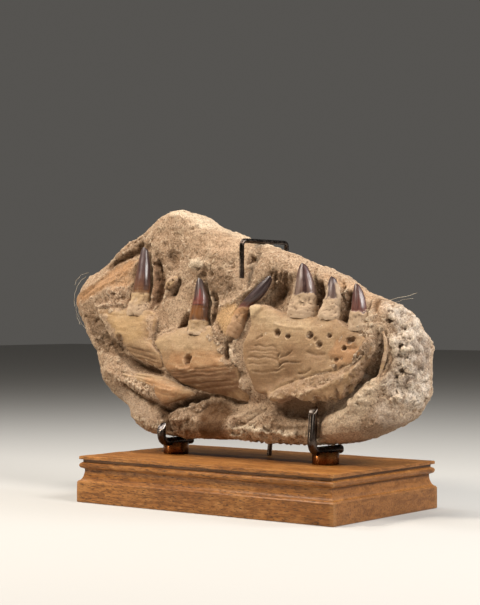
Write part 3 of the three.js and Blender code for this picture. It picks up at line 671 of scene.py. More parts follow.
def wood_finish():
    """Waxed hardwood: fine grain along the length, short dark pores, blotches, and end grain at both ends;
    lighter on edges and corners, partly rubbed and partly painted highlight, and darker in the moulding's
    hollows as painted shade.
    """
    f = Finish("Waxed wood", Specular_IOR_Level=0.22, Coat_Roughness=0.3, Coat_Weight=0.05)
    grain = f.noise(1.3, 4, 0.7, f.stretched((0.035, 1, 1)))
    dashes = f.noise(2.6, 3, 0.65, f.stretched((0.22, 1, 1)))
    bands = f.noise(11, 3, 0.6, f.stretched((0.08, 1, 1)))
    blotches = f.noise(16, 4, 0.65, f.stretched((0.5, 1, 1)))
    pores = f.noise(0.9, 2, 0.6, f.stretched((0.16, 1, 1)))
    rings = f.noise(7, 3, 0.7, f.stretched((1, 0.35, 1), (0.35, 0, 0)), 1.2)
    dots = f.noise(1.8, 3, 0.7)
    wear = f.attribute("edge_wear_and_painted_light")
    normal = f.node("ShaderNodeNewGeometry").outputs["Normal"]
    facing_x = Value(f, f.node("ShaderNodeSeparateXYZ", None, {0: normal}).outputs[0])
    side_grain = f.over(
        f.mix(bands.step(0.35, 0.65), tint(0.25, 0.092, 0.018), tint(0.37, 0.150, 0.034)),
        (grain.step(0.45, 0.64) * 0.7, tint(0.165, 0.060, 0.013)),
        (blotches.step(0.45, 0.70) * 0.45, tint(0.48, 0.225, 0.068)),
        (dashes.step(0.50, 0.61) * 0.6, tint(0.145, 0.054, 0.011)),
        (dashes.step(0.30, 0.45, 0.45, 0.0), tint(0.50, 0.245, 0.082)),
        (pores.step(0.55, 0.63) * 0.8, tint(0.06, 0.022, 0.006)))
    end_grain = f.over(
        f.mix(rings.step(0.35, 0.68), tint(0.26, 0.108, 0.032), tint(0.16, 0.062, 0.017)),
        (dots.step(0.51, 0.62) * 0.7, tint(0.08, 0.032, 0.010)))
    colour = f.over(
        side_grain,
        ((facing_x * facing_x).step(0.5, 0.9), end_grain),
        # Lighter on proud edges and corners, partly rubbed wear and partly painted highlight; darker in the
        # moulding's hollows, a painted shade
        (wear.step(0.52, 0.75, 0.0, 0.22), tint(0.44, 0.235, 0.085)),
        (wear.step(0.20, 0.47, 0.75, 0.0), tint(0.07, 0.03, 0.010)))
    f.wear(Base_Color=colour, Roughness=grain.step(0.3, 0.7, 0.34, 0.52))
    f.bump((grain, 0.15), (dashes, 0.12), (pores.step(0.58, 0.72) * -1, 0.12))
    return f


def metal_finish(name, dark, light, stain, roughness=0.20):
    """Aged metal: two tones in clouds, darker stains, fine scratches, and a paler bare cut face that also serves
    as a painted glint.
    """
    f = Finish(name, Metallic=1.0)
    clouds = f.noise(9, 3, 0.55)
    stains = f.noise(3, 4, 0.65)
    scratches = f.noise(0.6, 2, 0.6, f.stretched((0.12, 0.12, 1)))
    bare = f.attribute("cut_face_and_glint")
    colour = f.over(
        f.mix(clouds.step(0.38, 0.64), dark, light),
        (stains.step(0.54, 0.70) * 0.35, stain),
        # The cut face: paler bare steel, partly a painted glint
        (bare, f.mix(stains.step(0.4, 0.6), tint(0.50, 0.45, 0.40), tint(0.66, 0.61, 0.56))))
    f.wear(Base_Color=colour, Roughness=stains.step(0.35, 0.70, roughness, roughness + 0.14) + bare * 0.28)
    f.bump((scratches, 0.015), (stains, 0.03))
    return f


# Plinth

def build_plinth(finish):
    """One block, whose top is drawn up and in, step by step, into the moulding."""
    cove_top, bead, arris, block = 34.3, 3.3, 0.7, 21.6
    bead_middle = cove_top + bead + arris
    steps = [(arris, 0)]
    steps += [(0, z) for z in (arris, 2, 5, 8, 11, 14, 17, block - 2, block - 0.5)]
    steps += [(0.4, block)]
    cove_height = cove_top - block - 1.5 * arris
    for degrees in range(88, -1, -8):
        angle = math.radians(degrees)
        steps.append((0.8 + 5 * math.cos(angle), cove_top - cove_height * math.sin(angle)))
    for degrees in range(-85, 70, 11):
        angle = math.radians(degrees)
        steps.append((1.5 + bead * (1 - math.cos(angle)), bead_middle + bead * math.sin(angle)))
    board = PLINTH_HEIGHT - 3.6
    steps += [(4.6, bead_middle + bead + 0.1), (4.6, board - 0.35), (1.9, board), (1.5, board + 0.4),
              (1.5, PLINTH_HEIGHT - 0.9), (1.75, PLINTH_HEIGHT - 0.3), (2.3, PLINTH_HEIGHT)]
    bpy.ops.mesh.primitive_plane_add(size=1, enter_editmode=True, align="WORLD", location=(0, 0, 0))
    piece = bpy.context.object
    size = [1.0, 1.0]
    height = 0
    for index, (inset, z) in enumerate(steps):
        wanted = [(PLINTH_WIDTH - 2 * inset) * MM, (PLINTH_DEPTH - 2 * inset) * MM]
        if index:
            bpy.ops.mesh.extrude_region_move(TRANSFORM_OT_translate={"value": (0, 0, (z - height) * MM)})
        growth = (wanted[0] / size[0], wanted[1] / size[1], 1)
        bpy.ops.transform.resize(value=growth, center_override=(0, 0, z * MM))
        size, height = wanted, z
    bpy.ops.mesh.select_all(action="SELECT")
    bpy.ops.mesh.normals_make_consistent(inside=False)
    for axis, half, count in ((0, PLINTH_WIDTH / 2, 54), (1, PLINTH_DEPTH / 2, 30)):
        for cut in range(1, count):
            centre = [0, 0, 0]
            centre[axis] = (2 * cut / count - 1) * half * MM
            normal = [0, 0, 0]
            normal[axis] = 1
            bpy.ops.mesh.select_all(action="SELECT")
            bpy.ops.mesh.bisect(plane_co=centre, plane_no=normal)
    bpy.ops.mesh.select_all(action="SELECT")
    bpy.ops.mesh.remove_doubles(threshold=0.00001)
    leave_edit()
    clay = Clay(piece, 0)
    places = clay.places
    handled = noise(places * (0.2, 1, 1), 14, 31) * 0.16 + noise(places, 5, 32) * 0.06
    inside = step(0, 2, places[:, 2])
    clay.outward(handled * inside - 0.08)
    corner = np.hypot(np.abs(places[:, 0]) - PLINTH_WIDTH / 2, np.abs(places[:, 1]) - PLINTH_DEPTH / 2)
    clay.refresh()
    # Proud edges and corners for the lighter rubbed edges with painted highlight, hollows for painted shade
    wear = np.clip(0.5 + 0.5 * clay.hollowness(1) / 0.8, 0, 1)
    clay.keep("edge_wear_and_painted_light", np.maximum(wear, 0.62 * (1 - step(0, 6, corner))))
    return finish_piece(piece, "wood_plinth", finish, ["plinth"], 28)


# Stand metalwork

def bent(corners, bend, steps=12):
    """A route of straight runs with its corners rounded."""
    points = [Vector(corners[0])]
    for before, corner, after in zip(corners, corners[1:], corners[2:]):
        corner = Vector(corner)
        start = corner + (Vector(before) - corner).normalized() * bend
        end = corner + (Vector(after) - corner).normalized() * bend
        for i in range(steps + 1):
            t = i / steps
            points.append((1 - t) ** 2 * start + 2 * t * (1 - t) * corner + t * t * end)
    points.append(Vector(corners[-1]))
    return points


def sweep(name, route, radii, axis, sides=32, flat=1.0):
    """One circle, extruded from place to place along a route and turned about the axis to follow it."""
    tangents = []
    for i in range(len(route)):
        ahead, back = route[min(i + 1, len(route) - 1)], route[max(i - 1, 0)]
        tangents.append((ahead - back).normalized())
    if axis == "X":
        angles = [math.atan2(-t.y, t.z) for t in tangents]
    else:
        angles = [math.atan2(t.x, t.z) for t in tangents]
    for i in range(1, len(angles)):
        while angles[i] - angles[i - 1] > math.pi:
            angles[i] -= 2 * math.pi
        while angles[i] - angles[i - 1] < -math.pi:
            angles[i] += 2 * math.pi
    bpy.ops.object.select_all(action="DESELECT")
    bpy.ops.mesh.primitive_circle_add(vertices=sides, radius=radii[0] * MM, fill_type="NGON",
                                      enter_editmode=True)
    piece = bpy.context.object
    piece.name = name
    bpy.ops.transform.resize(value=(1, flat, 1), center_override=(0, 0, 0))
    bpy.ops.transform.translate(value=route[0] * MM)
    bpy.ops.transform.rotate(value=-angles[0], orient_axis=axis, center_override=route[0] * MM)
    for i in range(1, len(route)):
        move = (route[i] - route[i - 1]) * MM
        bpy.ops.mesh.extrude_region_move(TRANSFORM_OT_translate={"value": move})
        bpy.ops.transform.resize(value=(radii[i] / radii[i - 1],) * 3, center_override=route[i] * MM)
        turn = angles[i] - angles[i - 1]
        if abs(turn) > 1e-6:
            bpy.ops.transform.rotate(value=-turn, orient_axis=axis, center_override=route[i] * MM)
    bpy.ops.mesh.select_all(action="SELECT")
    bpy.ops.mesh.normals_make_consistent(inside=False)
    leave_edit()
    return piece


def bevel_ends(piece, width):
    """Rounds the sharp edges of a piece."""
    edit(piece)
    bpy.ops.mesh.edges_select_sharp(sharpness=math.radians(50))
    bpy.ops.mesh.bevel(offset=width * MM, segments=3, affect="EDGES")
    leave_edit()


def build_hook(side, finish):
    """A bent rod: a level arm with a rounded end, a round bend and a tine whose tip is cut on the slant."""
    x, tip = HOOKS[side]
    radius = HOOK_ROD / 2
    tine_top = HOOK_FRONT + (tip - HOOK_ARM_Z) * math.tan(TINE_LEAN)
    corners = [(x, HOOK_BACK - 2, HOOK_ARM_Z), (x, HOOK_FRONT, HOOK_ARM_Z), (x, tine_top, tip - radius)]
    route = bent(corners, HOOK_BEND)
    rounded = [(HOOK_BACK, 2.2), (HOOK_BACK - 0.3, 3.0), (HOOK_BACK - 0.9, 3.6)]
    route = [Vector((x, y, HOOK_ARM_Z)) for y, _ in rounded] + route
    radii = [r for _, r in rounded] + [radius] * (len(route) - 3)
    piece = sweep(f"hook_{side}", route, radii, "X")
    clay = Clay(piece, 0)
    top = clay.places[:, 2] > tip - radius - 0.6
    clay.places[:, 2] += np.where(top, clay.places[:, 1] - tine_top, 0)
    clay.refresh()
    clay.outward(noise(clay.places, 6, 41) * 0.05)
    clay.refresh()
    bevel_ends(piece, 0.35)
    clay = Clay(piece, 0)
    # The slanted cut face of the tip, painted paler as bare steel and as a painted glint
    above = clay.places[:, 2] - (tip - radius) - (clay.places[:, 1] - tine_top)
    clay.keep("cut_face_and_glint", (np.abs(above) < 0.15) & (clay.places[:, 2] > tip - 2.2 * radius))
    return finish_piece(piece, f"bent_hook_{side}", finish, [f"hook_{side}"], 35)


def build_post(finish):
    """A slim rod: up behind the slab, over its top edge and down in front of it."""
    lean = math.tan(SLAB_LEAN)
    top_y = POST_FOOT_Y + (POST_TOP - PLINTH_HEIGHT) * lean
    corners = [(POST_X, POST_FOOT_Y - 12 * lean, PLINTH_HEIGHT - 12), (POST_X, top_y, POST_TOP),
               (POST_X, POST_TINE_Y, POST_TOP), (POST_X, POST_TINE_Y, POST_TINE_END)]
    route = bent(corners, POST_BEND)
    piece = sweep("rear_post", route, [POST_ROD / 2] * len(route), "X", 24)
    bevel_ends(piece, 0.5)
    return finish_piece(piece, "bent_rear_post", finish, ["rear_post"], 35)


def build_ferrule(side, finish):
    """A short turned barrel with eased edges and a shallow seat for the rod."""
    x, y = FERRULES[side]
    height = FERRULE_HEIGHT * MM
    bpy.ops.object.select_all(action="DESELECT")
    bpy.ops.mesh.primitive_cylinder_add(vertices=72, radius=FERRULE_DIAMETER / 2 * MM, depth=height,
                                        location=(x * MM, y * MM, PLINTH_HEIGHT * MM + height / 2))
    piece = bpy.context.object
    bevel_ends(piece, 0.7)
    edit(piece)
    leave_edit()
    for polygon in piece.data.polygons:
        polygon.select = polygon.normal.z > 0.9 and polygon.area > 0.0001
    choose(piece)
    bpy.ops.object.mode_set(mode="EDIT")
    bpy.ops.mesh.inset(thickness=3.5 * MM)
    bpy.ops.mesh.inset(thickness=0.6 * MM, depth=-0.5 * MM)
    leave_edit()
    return finish_piece(piece, f"turned_ferrule_{side}", finish, [f"ferrule_{side}"], 30)


# Matrix

ROCK_LINES = [
    # rise, half width, places
    (-5, 4.5, [(-156, 207), (-160, 199), (-168, 191), (-180, 185), (-196, 178), (-207, 170)]),
    (1.8, 2.5, [(-160, 184), (-174, 181), (-193, 176), (-211, 161), (-228, 151), (-242, 144)]),
    (-2.2, 1.5, [(-159, 178), (-175, 167), (-201, 157), (-218, 151), (-234, 141)]),
    (-2.0, 1.4, [(-160, 170), (-183, 158), (-197, 152), (-215, 143), (-230, 137)]),
    (-1.4, 1.2, [(-178, 172), (-200, 163), (-220, 154)]),
    (-1.8, 3, [(-126, 227), (-140, 221), (-153, 213), (-165, 204), (-179, 198), (-192, 190)]),
    (-4, 3.5, [(-133, 184), (-128, 170), (-124, 156), (-123, 142), (-128, 130)]),
    (-3, 2.5, [(-154, 192), (-156, 178), (-156, 167), (-156, 157)]),
    (1.8, 1.2, [(-112, 194), (-100, 189), (-93, 182), (-96, 172), (-98, 166)]),
    (-1.2, 1.3, [(-99, 209), (-77, 207), (-52, 204), (-30, 201)]),
    (-1.1, 1.2, [(-93, 203), (-68, 199), (-46, 195), (-20, 189)]),
    (-0.9, 1.2, [(-84, 196), (-60, 193), (-38, 189)]),
    (-0.9, 1.4, [(-116, 225), (-100, 220), (-85, 215), (-69, 211)]),
    (-5, 3, [(-93, 162), (-98, 153), (-106, 142)]),
    (-6, 2.6, [(-79, 124), (-85, 115), (-90, 105)]),
    (-1.6, 1.1, [(-72, 158), (-76, 150), (-78, 143), (-82, 136), (-77, 127)]),
    (3, 3, [(-62, 160), (-50, 157), (-43, 145), (-38, 132), (-37, 122)]),
    (-5, 3, [(-46, 150), (-42, 138), (-40, 124), (-44, 113), (-50, 108)]),
    (3, 3.5, [(8, 150), (-5, 142), (-16, 136), (-29, 131), (-40, 127)]),
    (4.5, 1.6, [(30, 164), (27, 156), (25, 148)]),
    (4.5, 1.4, [(37, 166), (34, 157), (32, 149)]),
    (4.5, 1.5, [(44, 168), (41, 160), (38, 153)]),
    (4.0, 1.5, [(51, 167), (48, 159), (45, 153)]),
    (-3.5, 3.5, [(40, 154), (36, 146), (30, 137), (27, 130)]),
    (-7, 3, [(85, 154), (88, 144), (88, 133), (85, 123), (82, 117)]),
    (-6, 2.6, [(119, 146), (120, 134), (120, 122), (120, 113)]),
    (-4, 3, [(150, 144), (154, 133), (154, 123)]),
    (1.8, 1.6, [(126, 110), (147, 111), (163, 112), (169, 106), (170, 98)]),
    (-5.5, 2.2, [(165, 106), (166, 95), (165, 86), (161, 76), (153, 66), (144, 58)]),
    (4, 5, [(174, 106), (178, 93), (178, 78), (170, 60), (155, 44), (138, 31), (117, 18)]),
    (9, 7, [(162, 69), (157, 57), (145, 45), (129, 33)]),
    (-2, 3, [(146, 68), (136, 60), (124, 52), (113, 44), (104, 35)]),
    (-3.5, 2, [(38, 10), (56, 9), (69, 10), (84, 12)]),
    (3.5, 3, [(-7, 4), (10, 6), (24, 4), (37, 2), (48, 5), (64, 2), (80, 4)]),
    (3, 3, [(171, 25), (164, 18), (155, 11), (144, 6)]),
    (-3.5, 2.4, [(-196, 79), (-184, 80), (-168, 78), (-156, 74)]),
    (-7, 3, [(-162, 74), (-147, 69), (-134, 65), (-120, 62), (-104, 57)]),
    (2.5, 2.5, [(-190, 63), (-170, 58), (-158, 52), (-141, 46), (-127, 39), (-117, 31)]),
    (-5, 2.6, [(-166, 48), (-149, 41), (-130, 33), (-118, 28), (-110, 24)]),
    (-9, 3.2, [(-114, 24), (-100, 21), (-86, 26), (-72, 31), (-58, 36), (-46, 38)]),
    (-5, 3.5, [(-104, 20), (-98, 11), (-95, 2), (-92, -4)]),
    (3.2, 2.6, [(-11, 14), (-2, 19), (11, 25), (27, 31)]),
    (-3.2, 1.8, [(-9, 9), (8, 12), (20, 21), (32, 28)]),
    (-2.6, 1.8, [(-81, 14), (-66, 18), (-52, 19), (-44, 26)]),
    (-5, 2.2, [(-1, 113), (-8, 105), (-15, 100), (-23, 92), (-22, 80), (-18, 70)]),
    (3.5, 2.8, [(-17, 92), (-8, 74), (0, 58), (8, 43)]),
    (3, 3, [(-212, 125), (-196, 114), (-184, 101), (-172, 88)]),
    (3, 2.6, [(-214, 130), (-195, 133), (-175, 133), (-158, 131)]),
    (3.2, 2.6, [(-121, 96), (-112, 103), (-95, 108), (-81, 111), (-66, 112)]),
    (3, 2.4, [(-44, 110), (-33, 103), (-26, 92), (-26, 78)]),
    (2.5, 2.6, [(52, 128), (62, 127), (74, 125), (84, 120)]),
    (-2.5, 1.5, [(-186, 196), (-172, 203), (-160, 207)]),
    (-2.5, 3.5, [(196, 112), (194, 96), (196, 80), (190, 62), (184, 46)]),
]
ROCK_SCARPS = [
    # rise on the left of the line, width of the edge, fade, places
    (2.6, 0.8, 12, [(-60, 213), (-71, 213), (-77, 219), (-89, 227), (-101, 230), (-116, 230)]),
    (2.4, 0.9, 12, [(-111, 29), (-125, 36), (-143, 44), (-159, 51), (-177, 57)]),
    (2.6, 1.0, 10, [(36, 26), (22, 20), (6, 11), (-11, 8)]),
    (2.6, 1.0, 12, [(-160, 76), (-180, 82), (-194, 81), (-208, 90), (-220, 102)]),
    (1.8, 0.9, 14, [(-20, 205), (-2, 197), (16, 190), (36, 184)]),
    (2.4, 1.0, 9, [(84, 14), (69, 12), (56, 10), (38, 11)]),
    (2.2, 0.9, 9, [(-50, 12), (-62, 20), (-78, 18), (-94, 12)]),
    (2.0, 1.0, 12, [(150, 15), (134, 10), (112, 6), (96, 3)]),
    (1.6, 0.8, 8, [(-150, 160), (-165, 154), (-182, 152), (-200, 146)]),
]
ROCK_PITS = [
    # x, z, radius, depth
    (-109, 185, 6, 5), (-125, 175, 3, 3), (-61, 168, 3.6, 4), (-72, 171, 3, 3), (-52, 164, 2.6, 3),
    (-42, 168, 2.6, 2.5), (-24, 150, 3, 3), (-3, 178, 5, 6), (4, 174, 2.6, 3), (182, 92, 4, 6),
    (196, 98, 3, 5),
    (194, 87, 3.4, 4.5), (178, 65, 3.5, 4), (168, 117, 3.5, 4), (178, 126, 4, 5), (190, 110, 3.5, 4),
    (196, 74, 3, 4), (173, 98, 2.5, 3), (186, 82, 2.5, 4), (175, 78, 2.5, 3), (184, 70, 3, 4),
    (187, 100, 2.5, 3),
    (-78, 16, 3, 2.5), (-60, 22, 3, 2.5), (8, 179, 2.5, 2), (-24, 172, 2.5, 2.5), (120, 115, 3, 4),
]
ROCK_STONES = [
    # x, z, radius, rise
    (-74, 175, 7, 2.2), (-54, 187, 4, 1.2), (-3, 171, 3, 2.2), (9, 190, 4, 1.4), (189, 57, 6, 4.5),
    (139, 63, 5, 4), (166, 16, 3, 2.2), (172, 123, 4.5, 3), (187, 119, 5, 3), (187, 92, 4, 3),
    (192, 79, 4.5, 3),
    (-190, 134, 4, 2.5), (-178, 143, 4, 2.5), (-170, 133, 4, 2), (-200, 131, 4, 2), (-184, 126, 4, 2),
    (-78, 12, 5, 3), (-66, 26, 5, 3), (-54, 28, 4, 2.5), (-84, 22, 4, 2.5), (-70, 2, 5, 2),
    (-12, 7, 3.5, 2.5), (9, 6, 4, 3), (28, 4, 4, 3.5), (39, 1, 4, 3), (55, 2, 4, 3), (62, -1, 4, 3),
    (84, 1, 4, 2),
    (-214, 105, 4, 2.5), (-205, 94, 4, 2.5), (-192, 88, 4, 2), (-198, 104, 4, 2.5), (-182, 92, 3.5, 2.5),
]
ROCK_AREAS = [
    # rise, softness of the border, what it does to the surface, outline
    # Areas with a brown share are mostly painted shade in hollows, slots, recesses and under overhangs, partly
    # the rock's own brown
    (0.6, 2, {"smooth": 0.7, "orange": 0.75, "brown": 0.25}, [
        (-160, 183), (-193, 175), (-211, 160), (-243, 144), (-242, 134), (-223, 137), (-190, 153),
        (-160, 169)]),
    (-2.5, 2, {"brown": 0.7}, [
        (-158, 203), (-166, 193), (-185, 186), (-204, 178), (-194, 177), (-171, 186), (-161, 192)]),
    (0, 2, {"coarse": 0.6, "brown": 0.35}, [
        (-191, 192), (-182, 204), (-162, 210), (-152, 212), (-159, 203), (-172, 193), (-191, 187),
        (-222, 171)]),
    (0, 2, {"smooth": 0.8, "orange": 0.5}, [
        (-191, 155), (-175, 162), (-158, 170), (-157, 160), (-164, 153), (-188, 147)]),
    (0.4, 2, {"coarse": 0.4, "red": 0.1}, [
        (-213, 130), (-206, 139), (-196, 145), (-180, 151), (-160, 153), (-157, 140), (-166, 130),
        (-185, 128)]),
    (-2, 1.5, {"brown": 0.55, "red": 0.3}, [
        (-135, 183), (-128, 168), (-121, 154), (-121, 144), (-127, 130), (-133, 126), (-131, 153)]),
    (0, 2, {"coarse": 0.4, "brown": 0.35}, [
        (-136, 190), (-120, 185), (-100, 178), (-101, 168), (-118, 166), (-124, 158), (-131, 165)]),
    # Painted shadow cast by the loose fragment, in a shallow hollow
    (-3, 1.8, {"brown": 0.6}, [(-97, 165), (-95, 154), (-103, 142), (-112, 138), (-111, 148), (-100, 156)]),
    (-0.5, 4, {"smooth": 0.7}, [
        (-111, 138), (-97, 150), (-78, 153), (-76, 133), (-92, 112), (-107, 108), (-120, 122)]),
    (1.2, 1.5, {"pale": 0.9, "coarse": 0.5}, [
        (-86, 179), (-74, 183), (-64, 177), (-67, 171), (-75, 169), (-84, 173)]),
    (0, 3, {"coarse": 0.5, "brown": 0.45}, [
        (-66, 162), (-50, 168), (-20, 156), (-18, 148), (-40, 143), (-55, 150)]),
    (-3, 1.2, {"brown": 0.9}, [(-80, 125), (-89, 115), (-93, 104), (-86, 107), (-84, 117), (-79, 123)]),
    (-1, 1.8, {"brown": 0.6}, [(-52, 156), (-42, 145), (-37, 132), (-38, 118), (-46, 110), (-45, 130)]),
    (0, 4, {"smooth": 0.75}, [
        (-99, 214), (-71, 213), (-40, 206), (-8, 196), (-8, 182), (-40, 186), (-84, 196)]),
    (0.8, 1.2, {"pale": 0.8, "coarse": 0.35}, [
        (-130, 236), (-110, 239), (-89, 231), (-75, 223), (-61, 216), (-72, 212), (-79, 219), (-91, 226),
        (-115, 229)]),
    (1.5, 2.5, {"smooth": 0.7, "yellow": 0.9}, [
        (-40, 125), (-31, 129), (-17, 133), (-6, 128), (-5, 120), (-12, 108), (-20, 100), (-31, 106),
        (-37, 115)]),
    (0.8, 2, {"coarse": 0.4, "brown": 0.12}, [
        (-52, 104), (-40, 112), (-24, 101), (-20, 90), (-26, 76), (-34, 80)]),
    (-1, 3, {"coarse": 0.9, "brown": 0.5}, [
        (-216, 124), (-192, 110), (-174, 94), (-172, 84), (-188, 78), (-205, 83), (-218, 101), (-230, 119)]),
    (0.5, 2, {"coarse": 0.7}, [
        (-176, 57), (-158, 54), (-137, 51), (-122, 45), (-116, 34), (-128, 35), (-149, 42), (-166, 48)]),
    (0, 5, {"smooth": 0.5, "grey": 0.3}, [
        (-167, 43), (-146, 35), (-122, 25), (-112, 12), (-130, 6), (-153, 17), (-176, 35)]),
    (0.5, 1.5, {"coarse": 0.7, "pale": 0.4}, [(-140, 12), (-118, 6), (-104, 8), (-108, -4), (-140, 0),
            (-156, 12)]),
    (-2, 2, {"brown": 0.75}, [(-113, 26), (-104, 27), (-92, 19), (-92, 0), (-99, 0), (-103, 12)]),
    (2, 2, {"coarse": 0.75, "brown": 0.42}, [
        (-97, 14), (-93, 22), (-80, 27), (-64, 33), (-48, 33), (-46, 26), (-56, 15), (-72, 12), (-84, 8)]),
    (0, 3, {"coarse": 0.6, "brown": 0.5}, [(-96, 10), (-80, 8), (-58, 12), (-50, 4), (-53, -5), (-98, -6)]),
    (2.0, 3.5, {"smooth": 0.9, "brown": 1}, [
        (-50, 26), (-45, 32), (-33, 34), (-21, 31), (-12, 21), (-16, 8), (-26, -4), (-52, -6), (-48, 10)]),
    (-4, 3, {"smooth": 0.4, "brown": 1}, [
        (-52, 38), (-29, 44), (-4, 45), (10, 40), (0, 33), (-16, 29), (-32, 36)]),
    (0, 3, {"smooth": 0.6, "pale": 0.15}, [(-13, 22), (3, 34), (26, 33), (30, 26), (12, 18), (-2, 15)]),
    (0, 1.8, {"coarse": 0.4, "pale": 0.1}, [
        (-22, 97), (-8, 93), (-2, 70), (8, 50), (12, 38), (2, 40), (-7, 58), (-13, 71), (-24, 86)]),
    (-1, 2, {"brown": 0.5, "fibrous": 1}, [
        (26, 164), (44, 168), (56, 162), (48, 150), (40, 138), (32, 128), (22, 132), (24, 146)]),
    (-3, 1.5, {"brown": 0.9}, [(81, 156), (88, 155), (92, 140), (89, 124), (82, 116), (79, 124), (83, 140)]),
    (-3, 1.5, {"brown": 0.8}, [(117, 148), (122, 146), (123, 132), (122, 112), (117, 112), (117, 130)]),
    (1.5, 2, {"coarse": 0.6, "pale": 0.4}, [
        (122, 127), (152, 126), (154, 112), (140, 108), (124, 112)]),
    (0, 2.5, {"coarse": 0.6, "pale": 0.25}, [(44, 140), (56, 146), (58, 130), (84, 118), (60, 120),
            (40, 128)]),
    (-6, 3, {"brown": 0.5}, [
        (-106, 60), (-84, 64), (-60, 66), (-30, 67), (-4, 69), (2, 60), (-2, 50), (-20, 42), (-44, 40),
        (-66, 44),
        (-88, 50)]),
    (-4, 2.5, {"brown": 0.3}, [(42, 38), (56, 47), (71, 54), (94, 59), (94, 50), (84, 44), (71, 40)]),
    (0, 3, {"brown": 0.35}, [(146, 14), (160, 24), (176, 26), (172, 12), (158, 4), (144, 4)]),
    (-3.5, 2.5, {"brown": 0.38}, [
        (138, 80), (126, 70), (108, 61), (92, 55), (92, 42), (106, 44), (122, 50), (134, 58)]),
    (3, 3, {"coarse": 0.7, "brown": 0.38}, [
        (160, 100), (152, 95), (143, 86), (136, 76), (136, 58), (152, 70), (160, 84)]),
    (2, 1.2, {"smooth": 0.4, "grey": 0.8}, [(133, 64), (139, 68), (145, 68), (145, 61), (138, 57),
            (131, 60)]),
    (-5, 4, {"smooth": 0.4, "brown": 0.75}, [
        (60, 38), (83, 42), (96, 40), (99, 30), (96, 20), (74, 18), (58, 22), (44, 22), (42, 32)]),
    (1.2, 2, {"coarse": 0.35}, [(145, 108), (163, 110), (165, 103), (158, 92), (150, 96), (142, 104)]),
    (0, 4, {"smooth": 0.6, "orange": 0.35}, [
        (88, 162), (105, 159), (128, 149), (149, 138), (166, 130), (158, 124), (140, 138), (122, 148),
        (100, 152)]),
    (0, 5, {"smooth": 0.5, "banded": 1, "pale": 0.6}, [
        (137, 57), (153, 68), (168, 56), (160, 38), (146, 18), (118, 4), (104, 8), (112, 24), (126, 42)]),
    (-1, 4, {"smooth": 0.8, "grey": 0.5}, [(172, 40), (188, 38), (184, 24), (166, 15), (158, 24), (163, 34)]),
    (0, 2, {"coarse": 0.9, "pale": 0.9}, [
        (-16, 8), (10, 9), (38, 7), (84, 6), (100, 2), (98, -7), (40, -8), (-16, -6)]),
    (0, 5, {"coarse": 0.9, "nodular": 1, "grey": 1}, [
        (160, 134), (176, 110), (176, 96), (182, 76), (172, 58), (176, 44), (200, 30), (215, 80),
        (196, 140)]),
]


def rock_surface(clay, coarse, smooth, nodules=0):
    """Lumps, chips, crumbs and small holes of the matrix. The bones have them too where rock covers them."""
    places = clay.places
    knobs = (0.6 - cells(places + 1.5 * clay.fray[:, None], 11, 60)) * 6 * nodules
    rubble = (0.55 - cells(places, 9, 61)) * 3.0 * coarse ** 2 * (1 - 0.6 * nodules)
    chips = facets(places + 0.8 * clay.fray[:, None], 8, 63) * (0.6 + 1.5 * coarse) * (1 - 0.85 * smooth)
    small_chips = (facets(places + 0.5 * clay.fray[:, None], 3.6, 65)
                   * (0.22 + 0.35 * coarse) * (1 - 0.8 * smooth))
    crumbs = (0.5 - cells(places, 4.2, 64)) * (0.2 + 0.8 * coarse) * (1 - 0.9 * smooth) + small_chips
    grains = (0.5 - cells(places, 2.4, 67)) * (0.28 + 0.35 * coarse) * (1 - 0.7 * smooth)
    lumps = rough(places, 14, 71, 5, 0.6) * (0.8 + 0.4 * coarse) * (1 - 0.75 * smooth)
    holes = -np.clip(rough(places, 5.5, 81, 3) - 0.5, 0, 0.7) * (2 + 2.5 * coarse) * (1 - smooth)
    return knobs + rubble + chips + crumbs + grains + lumps + holes


def masks_of(clay, areas, names):
    """What the named areas do to the surface, as one mask from 0 to 1 for each effect."""
    masks = {name: np.zeros(len(clay.places)) for name in names}
    for _, soft, effects, points in areas:
        inside = clay.region(points, soft + 1, 2.0)
        for name, share in effects.items():
            masks[name] = np.maximum(masks[name], share * inside)
    return masks


